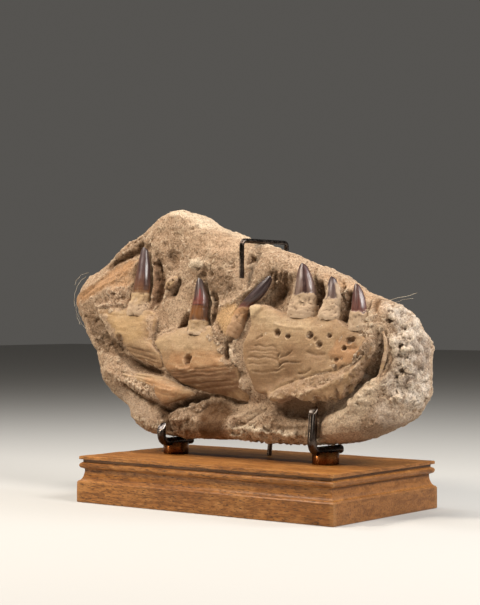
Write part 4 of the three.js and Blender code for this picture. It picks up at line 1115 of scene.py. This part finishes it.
def build_matrix(finish):
    """The slab: the CAD solids joined and remeshed as one body, then worked with furrows, edges and pits."""
    piece = merged_copy("matrix_body", "matrix")
    bones = merged_copy("buried", *BONES, *[f"tooth_{index + 1}" for index in range(len(TEETH))])
    apply_modifier(bones, "DISPLACE", strength=-BURIED_GAP * MM, mid_level=0)
    bones.select_set(True)
    piece.select_set(True)
    bpy.context.view_layer.objects.active = piece
    bpy.ops.object.join()
    remesh(piece, ROUGH_VOXEL, 7)
    clay = Clay(piece)
    x, z = clay.x, clay.z
    front = sum(clay.line(*stroke) for stroke in ROCK_LINES)
    front += sum(clay.scarp(*stroke) for stroke in ROCK_SCARPS)
    for rise, soft, _, points in ROCK_AREAS:
        if rise:
            front += rise * clay.region(points, soft)
    for index, stations in enumerate(TEETH):
        sx, sz, half_width, _ = np.array(stations).T
        away, _, side = along(x, z, list(zip(sx, sz)))
        beside = away - np.interp(-z, -sz, half_width)
        base = TOOTH_LOOKS[index]["base"]
        depth = CHANNEL_DEPTH + (DEEP_RIGHT_BY * step(0, 7, side) if index in DEEP_RIGHT_SIDES else 0)
        front -= depth * step(CHANNEL_WIDTH, 0.5, beside + 0.6 * clay.fray) * step(base - 16, base - 5, z)
    for plan in BONES.values():
        cracks = sum(clay.line(min(rise, 0), width + 0.8, points) for rise, width, points in plan["lines"])
        front += 1.3 * cracks
        for px, pz, radius, depth in plan["holes"]:
            front -= (0.55 * depth + BURIED_GAP) * np.exp(-(np.hypot(x - px, z - pz) / (radius + 1)) ** 4)
    for px, pz, radius, rise in ROCK_STONES:
        front += rise * np.exp(-((x - px) ** 2 + (z - pz) ** 2) ** 2 / radius ** 4)
    for px, pz, radius, depth in ROCK_PITS:
        away = np.hypot(x - px, z - pz) / radius * (1 + 0.25 * clay.fray)
        front += depth * (0.12 * np.exp(-(away - 1.4) ** 2 * 6) - np.exp(-away ** 4))
    clay.forward(front)
    clay.refresh()

    remesh(piece, FINE_VOXEL, 2)
    clay = Clay(piece)
    places = clay.places
    in_front = step(8, -8, places[:, 1] + 22)
    masks = masks_of(clay, ROCK_AREAS, (
        "smooth", "coarse", "nodular", "pale", "orange", "brown", "yellow", "red", "grey", "fibrous", "banded"))
    masks = {name: mask * in_front for name, mask in masks.items()}
    masks["coarse"] = np.maximum(masks["coarse"], 0.3 * step(150, 185, places[:, 0]))
    masks["smooth"] *= 1 - masks["coarse"]
    layers = rough(places * (0.18, 1, 1.1), 5, 85, 2) * 0.5 * clay.patch(-60, 203, 90, 20, -14)
    ragged = noise(places * (1, 1, 0.16), 2.6, 88) * 1.1 * masks["fibrous"]
    bands = rough(places @ np.array([[0.8, 0, 0.25], [0, 1, 0], [-0.25, 0, 0.8]]) * (0.25, 1, 1), 7, 92, 2)
    slope = bands * 0.9 * masks["banded"]
    relief = rock_surface(clay, masks["coarse"], masks["smooth"], masks["nodular"])
    clay.outward(relief + layers + ragged + slope)
    clay.keep_wear_and_painted_light(0.34, 3.2)

    behind = step(-30, 10, places[:, 1])
    crest = [(-145, 231), (-117, 239), (-94, 233), (-63, 220), (-30, 209), (8, 198)]
    top_edge = along(places[:, 0], places[:, 2], crest)[0]
    # Painted shade: the deeper furrows turn brown
    furrows = sum(clay.line(rise / 8, width, points) for rise, width, points in ROCK_LINES if rise < -2.4)
    masks["brown"] = np.maximum(masks["brown"], np.clip(-1.6 * furrows, 0, 0.85)) * in_front
    # Paler along the top crest: partly pale crust, partly painted light on the top edge
    masks["pale"] = np.maximum(masks["pale"], 0.5 * step(8, 2, top_edge)) * (1 - 0.4 * behind)
    masks["grey"] = np.clip(np.maximum(masks["grey"], 0.5 * behind), 0, 1)
    # Oranger along the bottom edge: a painted warm reflection
    masks["orange"] = np.maximum(masks["orange"], 0.5 * step(1, -5, places[:, 2]))
    for name in ("smooth", "pale", "orange", "brown", "yellow", "red", "grey"):
        clay.keep(name, np.clip(masks[name], 0, 1))
    apply_modifier(piece, "DECIMATE", ratio=min(1, SLAB_TRIANGLES / (2 * len(piece.data.polygons))))
    return finish_piece(piece, "matrix_slab", finish, ["matrix"], 75, on_slab=True)


# Fibres caught on the rim: radius, depth, places
FIBRES = [
    (0.16, 50, [(-241, 166), (-249, 161), (-254, 153), (-256, 143), (-254, 132)]),
    (0.14, 46, [(-246, 158), (-253, 147), (-256, 133), (-252, 120), (-246, 112)]),
    (0.12, 42, [(-249, 143), (-255, 136), (-255, 124), (-248, 113), (-240, 108)]),
    (0.13, 52, [(-236, 170), (-246, 168), (-253, 162), (-255, 156)]),
    (0.16, 46, [(160, 138), (170, 140.5), (181, 142), (191, 145)]),
    (0.12, 44, [(166, 136), (175, 139), (186, 140)]),
    (0.15, 34, [(193, 106), (199, 104), (203, 100), (205, 95)]),
    (0.12, 58, [(28, 178), (32, 182), (34, 188)]),
]


def build_fibres(finish):
    """Thin strands, each swept along a slack curve."""
    strands = []
    for index, (radius, depth, points) in enumerate(FIBRES):
        lengths = np.concatenate([[0], np.cumsum(np.hypot(*np.diff(np.array(points), axis=0).T))])
        reach = np.arange(0, lengths[-1], 0.8)
        xs = np.interp(reach, lengths, [x for x, _ in points])
        zs = np.interp(reach, lengths, [z for _, z in points])
        for _ in range(5):
            xs[1:-1] = (xs[:-2] + 2 * xs[1:-1] + xs[2:]) / 4
            zs[1:-1] = (zs[:-2] + 2 * zs[1:-1] + zs[2:]) / 4
        waves = 0.35 * np.sin(reach * 0.7 + index)
        route = [Vector((x + wave, -depth, z)) for x, z, wave in zip(xs, zs, waves)]
        strands.append(sweep(f"strand_{index + 1}", route, [radius] * len(route), "Y", 5))
    choose(strands[0])
    for strand in strands:
        strand.select_set(True)
    bpy.ops.object.join()
    piece = bpy.context.view_layer.objects.active
    return finish_piece(piece, "loose_fibres", finish, on_slab=True)


# Bones

# In the bones' areas, pale bands along upper edges are partly painted light from above, and brown areas are
# mostly painted shade in lower bands and undercuts, partly the bone's own brown
BONES = {
    "jaw_left": {
        "lines": [
            (-0.9, 1.1, [(-160, 87), (-141, 84), (-125, 81), (-112, 79)]),
            (-0.9, 1.0, [(-158, 83), (-138, 78), (-123, 75), (-107, 72)]),
            (-0.8, 1.0, [(-152, 78), (-136, 74), (-120, 71), (-105, 68)]),
            (-0.8, 1.0, [(-141, 71), (-129, 69), (-116, 65), (-104, 63)]),
            (-0.5, 1.2, [(-205, 122), (-180, 120), (-157, 121), (-140, 119)]),
            (-1.6, 5, [(-214, 127), (-196, 113), (-180, 98), (-171, 88)]),
            (-1.2, 3, [(-134, 126), (-128, 118), (-128, 104), (-127, 94)]),
        ],
        "steps": [
            (0.9, [(-112, 79), (-125, 81), (-141, 84), (-160, 87)]),
            (0.9, [(-105, 68), (-120, 71), (-136, 74), (-152, 78)]),
        ],
        "holes": [(-168, 95, 4.5, 5)],
        "areas": [
            (0, 4, {"yellow": 0.7}, [(-190, 120), (-150, 124), (-136, 118), (-134, 100), (-150, 90),
                    (-172, 96)]),
            (0, 3, {"brown": 0.5}, [(-165, 92), (-140, 88), (-118, 80), (-104, 64), (-130, 66), (-160, 76)]),
            (0, 3, {"pale": 0.5}, [(-180, 128), (-150, 129), (-136, 126), (-140, 120), (-176, 122)]),
            (0, 2, {"brown": 0.5}, [(-176, 100), (-165, 100), (-162, 90), (-172, 86)]),
        ],
        "sand": [(0.9, 5, [(-216, 128), (-195, 131), (-161, 130), (-132, 129)]),
                 (1, 8, [(-218, 127), (-196, 111), (-180, 96), (-172, 84)]),
                 (0.8, 4, [(-126, 122), (-126, 106), (-124, 94)])],
    },
    "jaw_middle": {
        "lines": [
            (-0.9, 1.1, [(-106, 61), (-86, 62), (-64, 64), (-40, 66), (-8, 69)]),
            (-0.9, 1.0, [(-103, 58), (-83, 59), (-59, 61), (-33, 62), (-7, 65)]),
            (-0.9, 1.2, [(-98, 55), (-76, 55), (-54, 57), (-30, 58), (-5, 60)]),
            (-0.8, 1.0, [(-91, 50), (-69, 49), (-47, 52), (-25, 53), (-4, 55)]),
            (-1.0, 1.4, [(-80, 45), (-58, 45), (-37, 47), (-16, 48), (1, 50)]),
            (-2.0, 2.6, [(-32, 75), (-24, 82), (-18, 90), (-22, 97)]),
            (1.6, 1.6, [(-86, 66), (-74, 63.5), (-64, 62.5), (-56, 64)]),
            (-1.6, 5, [(-122, 98), (-106, 106), (-84, 109), (-64, 112)]),
        ],
        "steps": [
            (1.0, [(-8, 69), (-40, 66), (-64, 64), (-86, 62), (-106, 61)]),
            (0.8, [(-4, 55), (-25, 53), (-47, 52), (-69, 49), (-91, 50)]),
        ],
        "holes": [(-68, 74, 4.6, 5.5), (-69, 79, 7, 1.5)],
        "areas": [
            (0, 4, {"pale": 0.25},
             [(-118, 96), (-86, 104), (-60, 106), (-40, 98), (-50, 84), (-90, 80), (-116, 84)]),
            (0, 4, {"orange": 0.5}, [(-90, 80), (-50, 84), (-20, 80), (-10, 66), (-60, 62), (-104, 64)]),
            (0, 3, {"brown": 0.95}, [(-112, 62), (-60, 66), (-8, 70), (2, 44), (-40, 36), (-84, 42),
                    (-104, 54)]),
            (0, 3, {"brown": 0.35}, [(-86, 78), (-72, 80), (-56, 78), (-58, 66), (-84, 66)]),
        ],
        "sand": [(0.9, 4, [(-124, 94), (-112, 103), (-95, 108), (-81, 111), (-66, 112), (-48, 106)]),
                 (1, 6, [(-40, 106), (-24, 96), (-24, 84), (-18, 74), (-8, 66)])],
    },
    "jaw_right": {
        "lines": [
            (-1.19, 0.9, [(9, 77), (18, 78), (27, 76), (35, 77), (48, 76), (52, 73)]),
            (-1.3, 1.1, [(50, 75), (54, 78), (59, 79), (65, 83), (69, 85)]),
            (-1.7, 1.0, [(49, 68), (54, 71), (60, 73), (71, 73), (81, 72)]),
            (-0.85, 0.8, [(16, 89), (24, 90), (33, 88), (42, 89), (50, 87)]),
            (-1.36, 1.0, [(72, 62), (80, 62), (87, 64), (94, 67)]),
            (-1.36, 1.2, [(19, 95), (24, 98), (29, 100)]),
            (-1.3, 2.0, [(112, 76), (120, 78), (128, 77)]),
            (-0.85, 0.8, [(12, 84), (22, 85), (30, 83), (40, 84), (54, 83)]),
            (-0.85, 0.8, [(10, 71), (18, 72), (26, 70), (42, 71)]),
            (-1.02, 1.2, [(14, 63), (30, 62), (48, 64), (60, 68)]),
            (-1.53, 1.1, [(52, 83), (50, 77), (52, 71), (49, 66)]),
            (-0.68, 0.8, [(24, 81), (34, 80), (44, 81), (49, 78)]),
            (-1.02, 1.2, [(84, 84), (96, 80), (108, 82)]),
            (-1.6, 2.2, [(126, 87), (134, 87), (144, 88)]),
            (2.5, 3.5, [(42, 36), (71, 37), (102, 46), (119, 53), (136, 62), (150, 73), (156, 84)]),
            (-1.4, 1.6, [(39, 41), (56, 49), (71, 56), (94, 61), (117, 66), (139, 73), (153, 88)]),
            (0.8, 1.6, [(40, 112), (60, 108), (84, 106)]),
            (-1.8, 6, [(40, 130), (62, 125), (84, 119), (100, 121), (116, 117)]),
        ],
        "drops": [(8, 15, [(66, 40), (84, 44), (102, 51), (120, 59), (138, 70), (150, 80)]),
                  (7, 17, [(96, 50), (114, 55), (130, 63), (144, 73), (156, 84)])],
        "steps": [(1.0, [(153, 88), (139, 73), (117, 66), (94, 61), (71, 56), (56, 49), (39, 41)])],
        "holes": [(48, 102, 3.6, 4), (61, 99, 2.4, 3.5), (87, 100, 3.2, 3.5), (110, 100, 2.4, 3),
                  (99, 91, 3.4, 3), (133, 95, 3.2, 4), (137, 97, 2.4, 3), (120, 76, 2.8, 2.5),
                  (94, 96, 2.4, 1.5),
                  (128, 88, 2.2, 3)],
        "areas": [
            (0, 4, {"pale": 0.55}, [(6, 130), (22, 126), (46, 120), (86, 112), (84, 104), (50, 106),
                    (14, 108)]),
            (2.5, 3, {"pale": 0.9}, [(0, 136), (14, 136), (24, 128), (14, 118), (4, 116), (-2, 124)]),
            (0, 5, {"brown": 0.35}, [(2, 96), (50, 92), (90, 86), (126, 80), (100, 64), (60, 60), (10, 60)]),
            (0, 3, {"brown": 0.55}, [(1, 64), (32, 64), (62, 66), (72, 60), (50, 46), (32, 42), (8, 40)]),
            (0, 3, {"orange": 0.55, "brown": 0.35},
             [(118, 96), (146, 92), (154, 86), (142, 76), (124, 70), (112, 82)]),
            (0, 2, {"brown": 0.25, "rocky": 0.55}, [
                (39, 41), (56, 49), (71, 56), (94, 61), (117, 66), (139, 73), (153, 88),
                (156, 84), (150, 73), (136, 62), (119, 53), (102, 46), (71, 37), (42, 36)]),
            (0, 2, {"brown": 0.5}, [(130, 100), (140, 99), (146, 90), (128, 86), (124, 92)]),
        ],
        "sand": [(1, 4.5, [(3, 124), (-3, 110), (-5, 97), (-3, 81), (1, 61), (8, 46), (12, 38)]),
                 (0.8, 3, [(50, 36), (76, 41), (98, 48), (116, 56), (130, 63), (143, 75), (152, 84)]),
                 (0.6, 4, [(118, 116), (128, 110), (138, 108), (148, 100)])],
    },
    "lower_splinter": {
        "lines": [
            (-0.8, 1.1, [(-176, 60), (-156, 58), (-134, 55), (-112, 52)]),
            (-0.6, 1.0, [(-150, 54), (-128, 50), (-106, 46), (-84, 42)]),
            (1.4, 3, [(-112, 46), (-96, 42), (-80, 40)]),
            (-0.6, 1.0, [(-118, 42), (-100, 36), (-84, 35)]),
        ],
        "steps": [(0.8, [(-84, 50), (-104, 54), (-128, 55), (-150, 57)])],
        "holes": [],
        "areas": [
            (0, 3, {"orange": 0.6}, [(-128, 54), (-100, 52), (-80, 44), (-70, 38), (-100, 30), (-116, 34)]),
            (0, 3, {"pale": 0.4}, [(-170, 62), (-140, 60), (-112, 54), (-130, 52), (-164, 56)]),
            (0, 2, {"brown": 0.7}, [(-112, 33), (-88, 33), (-64, 37), (-64, 30), (-112, 24)]),
        ],
        "sand": [(0.9, 4, [(-182, 62), (-166, 56), (-143, 49), (-126, 42)]),
                 (0.6, 4, [(-66, 42), (-56, 40)])],
    },
    "loose_fragment": {
        "lines": [(-0.9, 0.9, [(-111, 150), (-104, 155), (-99, 159)]),
                  (-0.6, 0.8, [(-108, 154), (-103, 159)])],
        "steps": [],
        "holes": [(-106, 153, 1.6, 1.6), (-101, 158, 1.4, 1.4), (-109, 150, 1.2, 1.2)],
        "areas": [(0, 3, {"pale": 0.4}, [(-112, 148), (-106, 158), (-98, 164), (-96, 158), (-104, 148)])],
        "sand": [(0.5, 8, [(-114, 148), (-104, 156), (-95, 164)])],
    },
    "curved_rib": {
        "lines": [(-0.4, 0.7, [(170, 98), (171.5, 86), (169, 74), (164, 60)])],
        "steps": [],
        "holes": [],
        "areas": [(0, 3, {"pale": 0.3}, [(164, 100), (176, 100), (176, 70), (164, 60)])],
        "sand": [(0.9, 8, [(168, 70), (160, 56), (148, 44)]), (0.5, 6, [(168, 104), (172, 88), (168, 72)])],
    },
}


def build_bone(node, finish):
    """A bone: its CAD solid remeshed, then given chipped edges, splits, layers, nerve openings and rock."""
    plan = BONES[node]
    small = node in SMALL_BONES
    voxel = SMALL_VOXEL if small else BONE_VOXEL
    piece = merged_copy(node + "_body", node)
    remesh(piece, voxel, int(14 / voxel))
    if "drops" in plan:
        clay = Clay(piece, 0)
        clay.places[:, 2] -= sum(clay.line(*stroke, 0.3) for stroke in plan["drops"])
        clay.refresh()
        remesh(piece, voxel, int(16 / voxel))
    clay = Clay(piece, 0.9, 14)
    places = clay.places
    front = sum((clay.line(*stroke) for stroke in plan["lines"]), np.zeros(len(places)))
    for rise, points in plan["steps"]:
        _, reach, side = along(clay.x, clay.z, points)
        front -= rise * step(-0.6, 0.6, side) * step(0, 0.1, reach) * step(0, 0.1, 1 - reach)
    for rise, soft, _, points in plan["areas"]:
        if rise:
            front += rise * clay.region(points, soft)
    for px, pz, radius, depth in plan["holes"]:
        away = np.hypot(places[:, 0] - px, places[:, 2] - pz) / radius * (1 + 0.12 * clay.fray)
        front += depth * (0.10 * np.exp(-(away - 1.3) ** 2 * 9) - np.exp(-away ** 4))
    clay.forward(front)
    clay.refresh()
    edge = 1 - step(0.30, 0.80, clay.facing)
    masks = masks_of(clay, plan["areas"], ("pale", "yellow", "brown", "orange", "rocky"))
    sand = sum(clay.line(share, width, points, 0.02) for share, width, points in plan["sand"])
    bare = 1 - masks["brown"]
    rim = 0.9 * edge * (0.25 if small else 1) * bare
    sand = step(0.30, 0.62, np.maximum(sand, masks["rocky"]) + 0.35 * clay.fray * (0.2 + 0.8 * bare) + rim)
    layers = rough(places * (0.16, 1, 1), 3.4, 107, 2) * (0.16 + 0.3 * edge)
    waves = rough(places, 16, 101, 4, 0.5) * 0.45
    relief = rock_surface(clay, 0.15 * sand, 1 - sand) * 0.75
    clay.outward((waves + layers + relief) * (0.45 if small else 1))
    clay.keep_wear_and_painted_light(0.35, 2.6)
    # Painted shade under the edges that face down
    masks["brown"] = np.clip(masks["brown"] + 0.45 * edge * step(0.1, -0.5, clay.normals[:, 2]), 0, 1)
    for name in ("pale", "yellow", "brown", "orange"):
        clay.keep(name, np.clip(masks[name], 0, 1))
    clay.keep("sand", sand)
    return finish_piece(piece, node + "_bone", finish, [node], 75, on_slab=True)


# Teeth

TOOTH_LOOKS = [
    # height of the enamel's edge, shades from the tip to that edge, rings round the base, streaks and coats;
    # some streaks are painted highlights and painted shade down one side of a tooth
    {"base": 144.5, "rings": (151, 148, 145),
     "shades": [(0.0, (0.07, 0.05, 0.05)), (0.15, (0.10, 0.065, 0.065)), (0.5, (0.085, 0.045, 0.045)),
                (0.75, (0.13, 0.06, 0.04)), (0.92, (0.22, 0.10, 0.05)), (1.0, (0.30, 0.17, 0.08))],
     # Tooth 1: painted shade down the right side, a brown left edge, and a painted highlight on the upper left
     "streaks": [(20, 22, (194, 148), (0.045, 0.02, 0.018), 0.8),
                 (120, 16, (180, 148), (0.20, 0.09, 0.055), 0.6),
                 (75, 8, (192, 160), (0.26, 0.21, 0.21), 0.35)], "coats": []},
    {"base": 115, "rings": (135, 128),
     "shades": [(0.0, (0.035, 0.022, 0.022)), (0.25, (0.10, 0.065, 0.06)), (0.42, (0.14, 0.06, 0.05)),
                (0.50, (0.19, 0.045, 0.035)), (0.62, (0.19, 0.055, 0.035)), (0.64, (0.06, 0.02, 0.015)),
                (0.68, (0.20, 0.075, 0.024)), (0.85, (0.24, 0.10, 0.034)), (1.0, (0.15, 0.065, 0.027))],
     "streaks": [(110, 14, (155, 135), (0.05, 0.025, 0.022), 0.8),
                 (62, 7, (147, 139), (0.28, 0.03, 0.03), 0.8),
                 # Painted shade down the right flank of tooth 2
                 (2, 24, (152, 118), (0.085, 0.045, 0.032), 0.85)],
     "coats": []},
    {"base": 128.5, "rings": (133.5,), "rock": 0.35,
     "shades": [(0.0, (0.022, 0.012, 0.012)), (0.5, (0.042, 0.025, 0.027)), (0.8, (0.06, 0.034, 0.032)),
                (0.93, (0.12, 0.036, 0.025)), (1.0, (0.20, 0.07, 0.04))],
     # Tooth 3: a painted highlight along the upper left
     "streaks": [(100, 18, (160, 140), (0.11, 0.08, 0.085), 0.7)], "coats": []},
    {"base": 141.5, "rings": (),
     "shades": [(0.0, (0.05, 0.018, 0.016)), (0.2, (0.085, 0.032, 0.028)), (0.6, (0.11, 0.055, 0.045)),
                (1.0, (0.14, 0.08, 0.055))],
     # Tooth 4: a dark middle band, with painted highlights in the pale streaks either side
     "streaks": [(54, 11, (168, 140), (0.035, 0.014, 0.013), 0.9),
                 (104, 18, (166, 140), (0.27, 0.19, 0.155), 0.7),
                 (10, 14, (164, 140), (0.25, 0.18, 0.15), 0.6)], "coats": [(140, 14, (156, 141), 0.6)]},
    {"base": 137, "rings": (),
     "shades": [(0.0, (0.045, 0.018, 0.018)), (0.35, (0.09, 0.055, 0.055)), (1.0, (0.12, 0.075, 0.06))],
     # Tooth 5: a painted highlight left of the middle
     "streaks": [(84, 10, (154, 140), (0.22, 0.15, 0.13), 0.6)],
     "coats": [(5, 26, (152, 136), 0.9), (130, 18, (148, 136), 0.9)]},
    {"base": 124, "rings": (),
     "shades": [(0.0, (0.055, 0.02, 0.018)), (0.5, (0.10, 0.036, 0.03)), (1.0, (0.16, 0.06, 0.045))],
     "streaks": [(70, 8, (144, 126), (0.05, 0.018, 0.016), 0.8),
                 (30, 10, (142, 126), (0.06, 0.02, 0.018), 0.8),
                 (48, 6, (142, 126), (0.19, 0.09, 0.07), 0.8)], "coats": []},
]


def build_tooth(index, finish):
    """A tooth: rings drawn from the blunt tip to the root, a glossy crown and a rough root."""
    stations = np.array(TEETH[index], float)
    look = TOOTH_LOOKS[index]
    base = look["base"]
    lengths = np.concatenate([[0], np.cumsum(np.hypot(np.diff(stations[:, 0]), np.diff(stations[:, 1])))])
    fine = np.concatenate([[0, 0.15, 0.4, 0.8, 1.4, 2.1], np.arange(3, lengths[-1], 1.0)])
    table = [np.interp(fine, lengths, stations[:, column]) for column in range(4)]
    for column in range(4):
        padded = np.pad(table[column], 2, mode="reflect", reflect_type="odd")
        table[column] = np.convolve(padded, np.ones(5) / 5, "valid")
    x, z, half_width, front = table
    half_width = half_width * np.sqrt(1 - (1 - np.clip(fine / 3.2, 0.01, 1)) ** 2)
    route = [Vector((x[i], half_width[i] * TOOTH_FLATTENING - front[i], z[i])) for i in range(len(fine))]
    piece = sweep(f"tooth_body_{index + 1}", route, list(half_width), "Y", 48, TOOTH_FLATTENING)
    clay = Clay(piece, 0)
    places = clay.places
    centre = np.stack([np.interp(-places[:, 2], -z, x), np.interp(-places[:, 2], -z, front)], axis=1)
    width = np.interp(-places[:, 2], -z, half_width)
    angle = np.arctan2(-(places[:, 1] + centre[:, 1] - width * TOOTH_FLATTENING), places[:, 0] - centre[:, 0])
    ragged = rough(places, 5, 131 + index, 3)

    def strip(middle, half_angle, ends):
        """A mask along one side of the tooth, between two heights."""
        off = (np.degrees(angle) - middle + 180) % 360 - 180
        across = step(half_angle * 1.3, half_angle * 0.7, np.abs(off) + 5 * ragged)
        under_top = step(ends[0] + 3, ends[0] - 2, places[:, 2])
        over_foot = step(ends[1] - 2, ends[1] + 2, places[:, 2])
        return across * under_top * over_foot

    root = step(base + 0.8, base - 0.8, places[:, 2] + ragged * (0.5 if look["rings"] else 2.2))
    sand = np.zeros(len(places))
    for middle, half, ends, share in look["coats"]:
        sand += share * strip(middle, half, ends)
    sand = np.maximum(sand, root * step(base - 3, base - 14, places[:, 2] + 5 * ragged))
    if not look["rings"]:
        sand = np.maximum(sand, root * 0.85)
    sand *= look.get("rock", 1)
    fluting = np.cos(angle * 9 + index) * 0.08 + noise(places * (1, 1, 0.2), 2.6, 137 + index) * 0.14
    lines = np.zeros(len(places))
    for ring in look["rings"]:
        lines = np.maximum(lines, np.exp(-((places[:, 2] - ring - 0.5 * ragged) / 0.45) ** 2))
    crown = fluting * step(0.5, 5, width) - 0.35 * lines
    blocky = facets(places + 0.8 * ragged[:, None], 6, 143 + index) * 0.9
    blocky += rough(places, 5, 141 + index, 4, 0.6) * 0.5
    skirt = 2.0 * step(base - 5, base - 18, places[:, 2]) + 0.3
    relief = crown * (1 - root) + (blocky + skirt) * root
    clay.outward(relief + (0.3 + 0.6 * rock_surface(clay, 0.2, 0)) * sand)
    clay.keep_wear_and_painted_light(0.3, 2.0)
    clay.keep("root", root)
    clay.keep("sand", np.clip(sand, 0, 1))
    clay.keep("ring_lines", lines * 0.7 * (1 - sand))
    clay.keep("brown", np.full(len(places), 1.0 if index == 2 else 0.0))
    height = np.clip((z[0] - places[:, 2]) / (z[0] - base), 0, 1)
    stops = [stop for stop, _ in look["shades"]]
    shade = np.stack([np.interp(height, stops, [c[k] for _, c in look["shades"]]) for k in range(3)], axis=1)
    for middle, half, ends, colour, share in look["streaks"]:
        cover = (share * strip(middle, half, ends))[:, None]
        shade = shade * (1 - cover) + np.array(colour) * cover
    colours = piece.data.attributes.new("shade", "FLOAT_COLOR", "POINT")
    colours.data.foreach_set("color", np.insert(shade, 3, 1, axis=1).astype(np.float32).ravel())
    across, ahead = places[:, 0] - centre[:, 0], places[:, 1] + centre[:, 1]
    lengthwise = np.stack([across, ahead, places[:, 2] * 0.10], axis=1) * MM
    lengthwise[:, :2] *= (6 / np.maximum(width, 2))[:, None]
    vectors = piece.data.attributes.new("lengthwise", "FLOAT_VECTOR", "POINT")
    vectors.data.foreach_set("vector", lengthwise.astype(np.float32).ravel())
    node = f"tooth_{index + 1}"
    return finish_piece(piece, node + "_crown", finish, [node], 60, on_slab=True)


# Assembly

matrix_look = matrix_finish()
bone_look = bone_finish()
enamel_look = enamel_finish()
wood_look = wood_finish()
brass_look = metal_finish(
    "Aged brass", tint(0.13, 0.045, 0.014), tint(0.21, 0.085, 0.026), tint(0.045, 0.014, 0.006))
steel_look = metal_finish(
    "Dark steel", tint(0.045, 0.033, 0.027), tint(0.10, 0.076, 0.062), tint(0.04, 0.022, 0.014))

build_plinth(wood_look)
for hook_side in HOOKS:
    build_ferrule(hook_side, brass_look)
    build_hook(hook_side, steel_look)
build_post(steel_look)
build_matrix(matrix_look)
build_fibres(fibre_finish())
for bone_node in BONES:
    build_bone(bone_node, bone_look)
for tooth_index in range(len(TEETH)):
    build_tooth(tooth_index, enamel_look)


# Floor, light and camera

def build_floor():
    """A plain pale floor, which is no part of the object."""
    bpy.ops.object.select_all(action="DESELECT")
    bpy.ops.mesh.primitive_plane_add(size=12, location=(0, 0, 0))
    floor = bpy.context.object
    floor.name = "floor"
    look = Finish("Pale floor", Base_Color=tint(0.46, 0.45, 0.43), Roughness=0.8)
    floor.data.materials.append(look.material)


def soft_light(name, azimuth, elevation, distance, size, power, colour):
    """A square lamp turned to the slab's middle. Azimuth 0 is in front of it and positive to the right."""
    a, e = math.radians(azimuth), math.radians(elevation)
    aim = Vector((-0.01, 0.01, 0.16))
    away = Vector((math.sin(a) * math.cos(e), -math.cos(a) * math.cos(e), math.sin(e)))
    lamp = bpy.data.lights.new(name, "AREA")
    lamp.energy = power
    lamp.size = size
    lamp.color = colour
    light = bpy.data.objects.new(name, lamp)
    light.location = aim + away * distance
    light.rotation_euler = away.to_track_quat("Z", "Y").to_euler()
    bpy.context.scene.collection.objects.link(light)


def build_camera():
    """The photo's own view of the object."""
    level = math.cos(CAMERA_PITCH)
    forward = Vector((math.sin(CAMERA_YAW) * level, math.cos(CAMERA_YAW) * level, math.sin(CAMERA_PITCH)))
    lens = bpy.data.cameras.new("camera")
    lens.sensor_width = SENSOR_WIDTH
    lens.lens = FOCAL_LENGTH / PICTURE_HEIGHT * SENSOR_WIDTH
    camera = bpy.data.objects.new("camera", lens)
    camera.location = CAMERA_PLACE
    camera.rotation_euler = forward.to_track_quat("-Z", "Y").to_euler()
    bpy.context.scene.collection.objects.link(camera)
    bpy.context.scene.camera = camera


build_floor()
soft_light("key", -36, 46, 1.4, 0.30, 19.5, (1.0, 0.90, 0.78))
soft_light("right_fill", 82, 36, 1.6, 0.5, 23, (1.0, 0.95, 0.90))
soft_light("top", 0, 85, 1.5, 0.5, 12, (1.0, 0.93, 0.84))
soft_light("left_rim", -88, 50, 1.5, 0.4, 8, (0.88, 0.94, 1.0))
soft_light("right_rim", 122, 32, 1.5, 0.5, 11, (0.90, 0.95, 1.0))
soft_light("low_left", -37, -3, 1.4, 0.10, 2.2, (1.0, 0.88, 0.70))
world = bpy.data.worlds.new("studio")
world.use_nodes = True
world.node_tree.nodes["Background"].inputs["Color"].default_value = tint(0.84, 0.80, 0.74)
world.node_tree.nodes["Background"].inputs["Strength"].default_value = 0.11
bpy.context.scene.world = world
bpy.context.scene.view_settings.view_transform = "Standard"
build_camera()
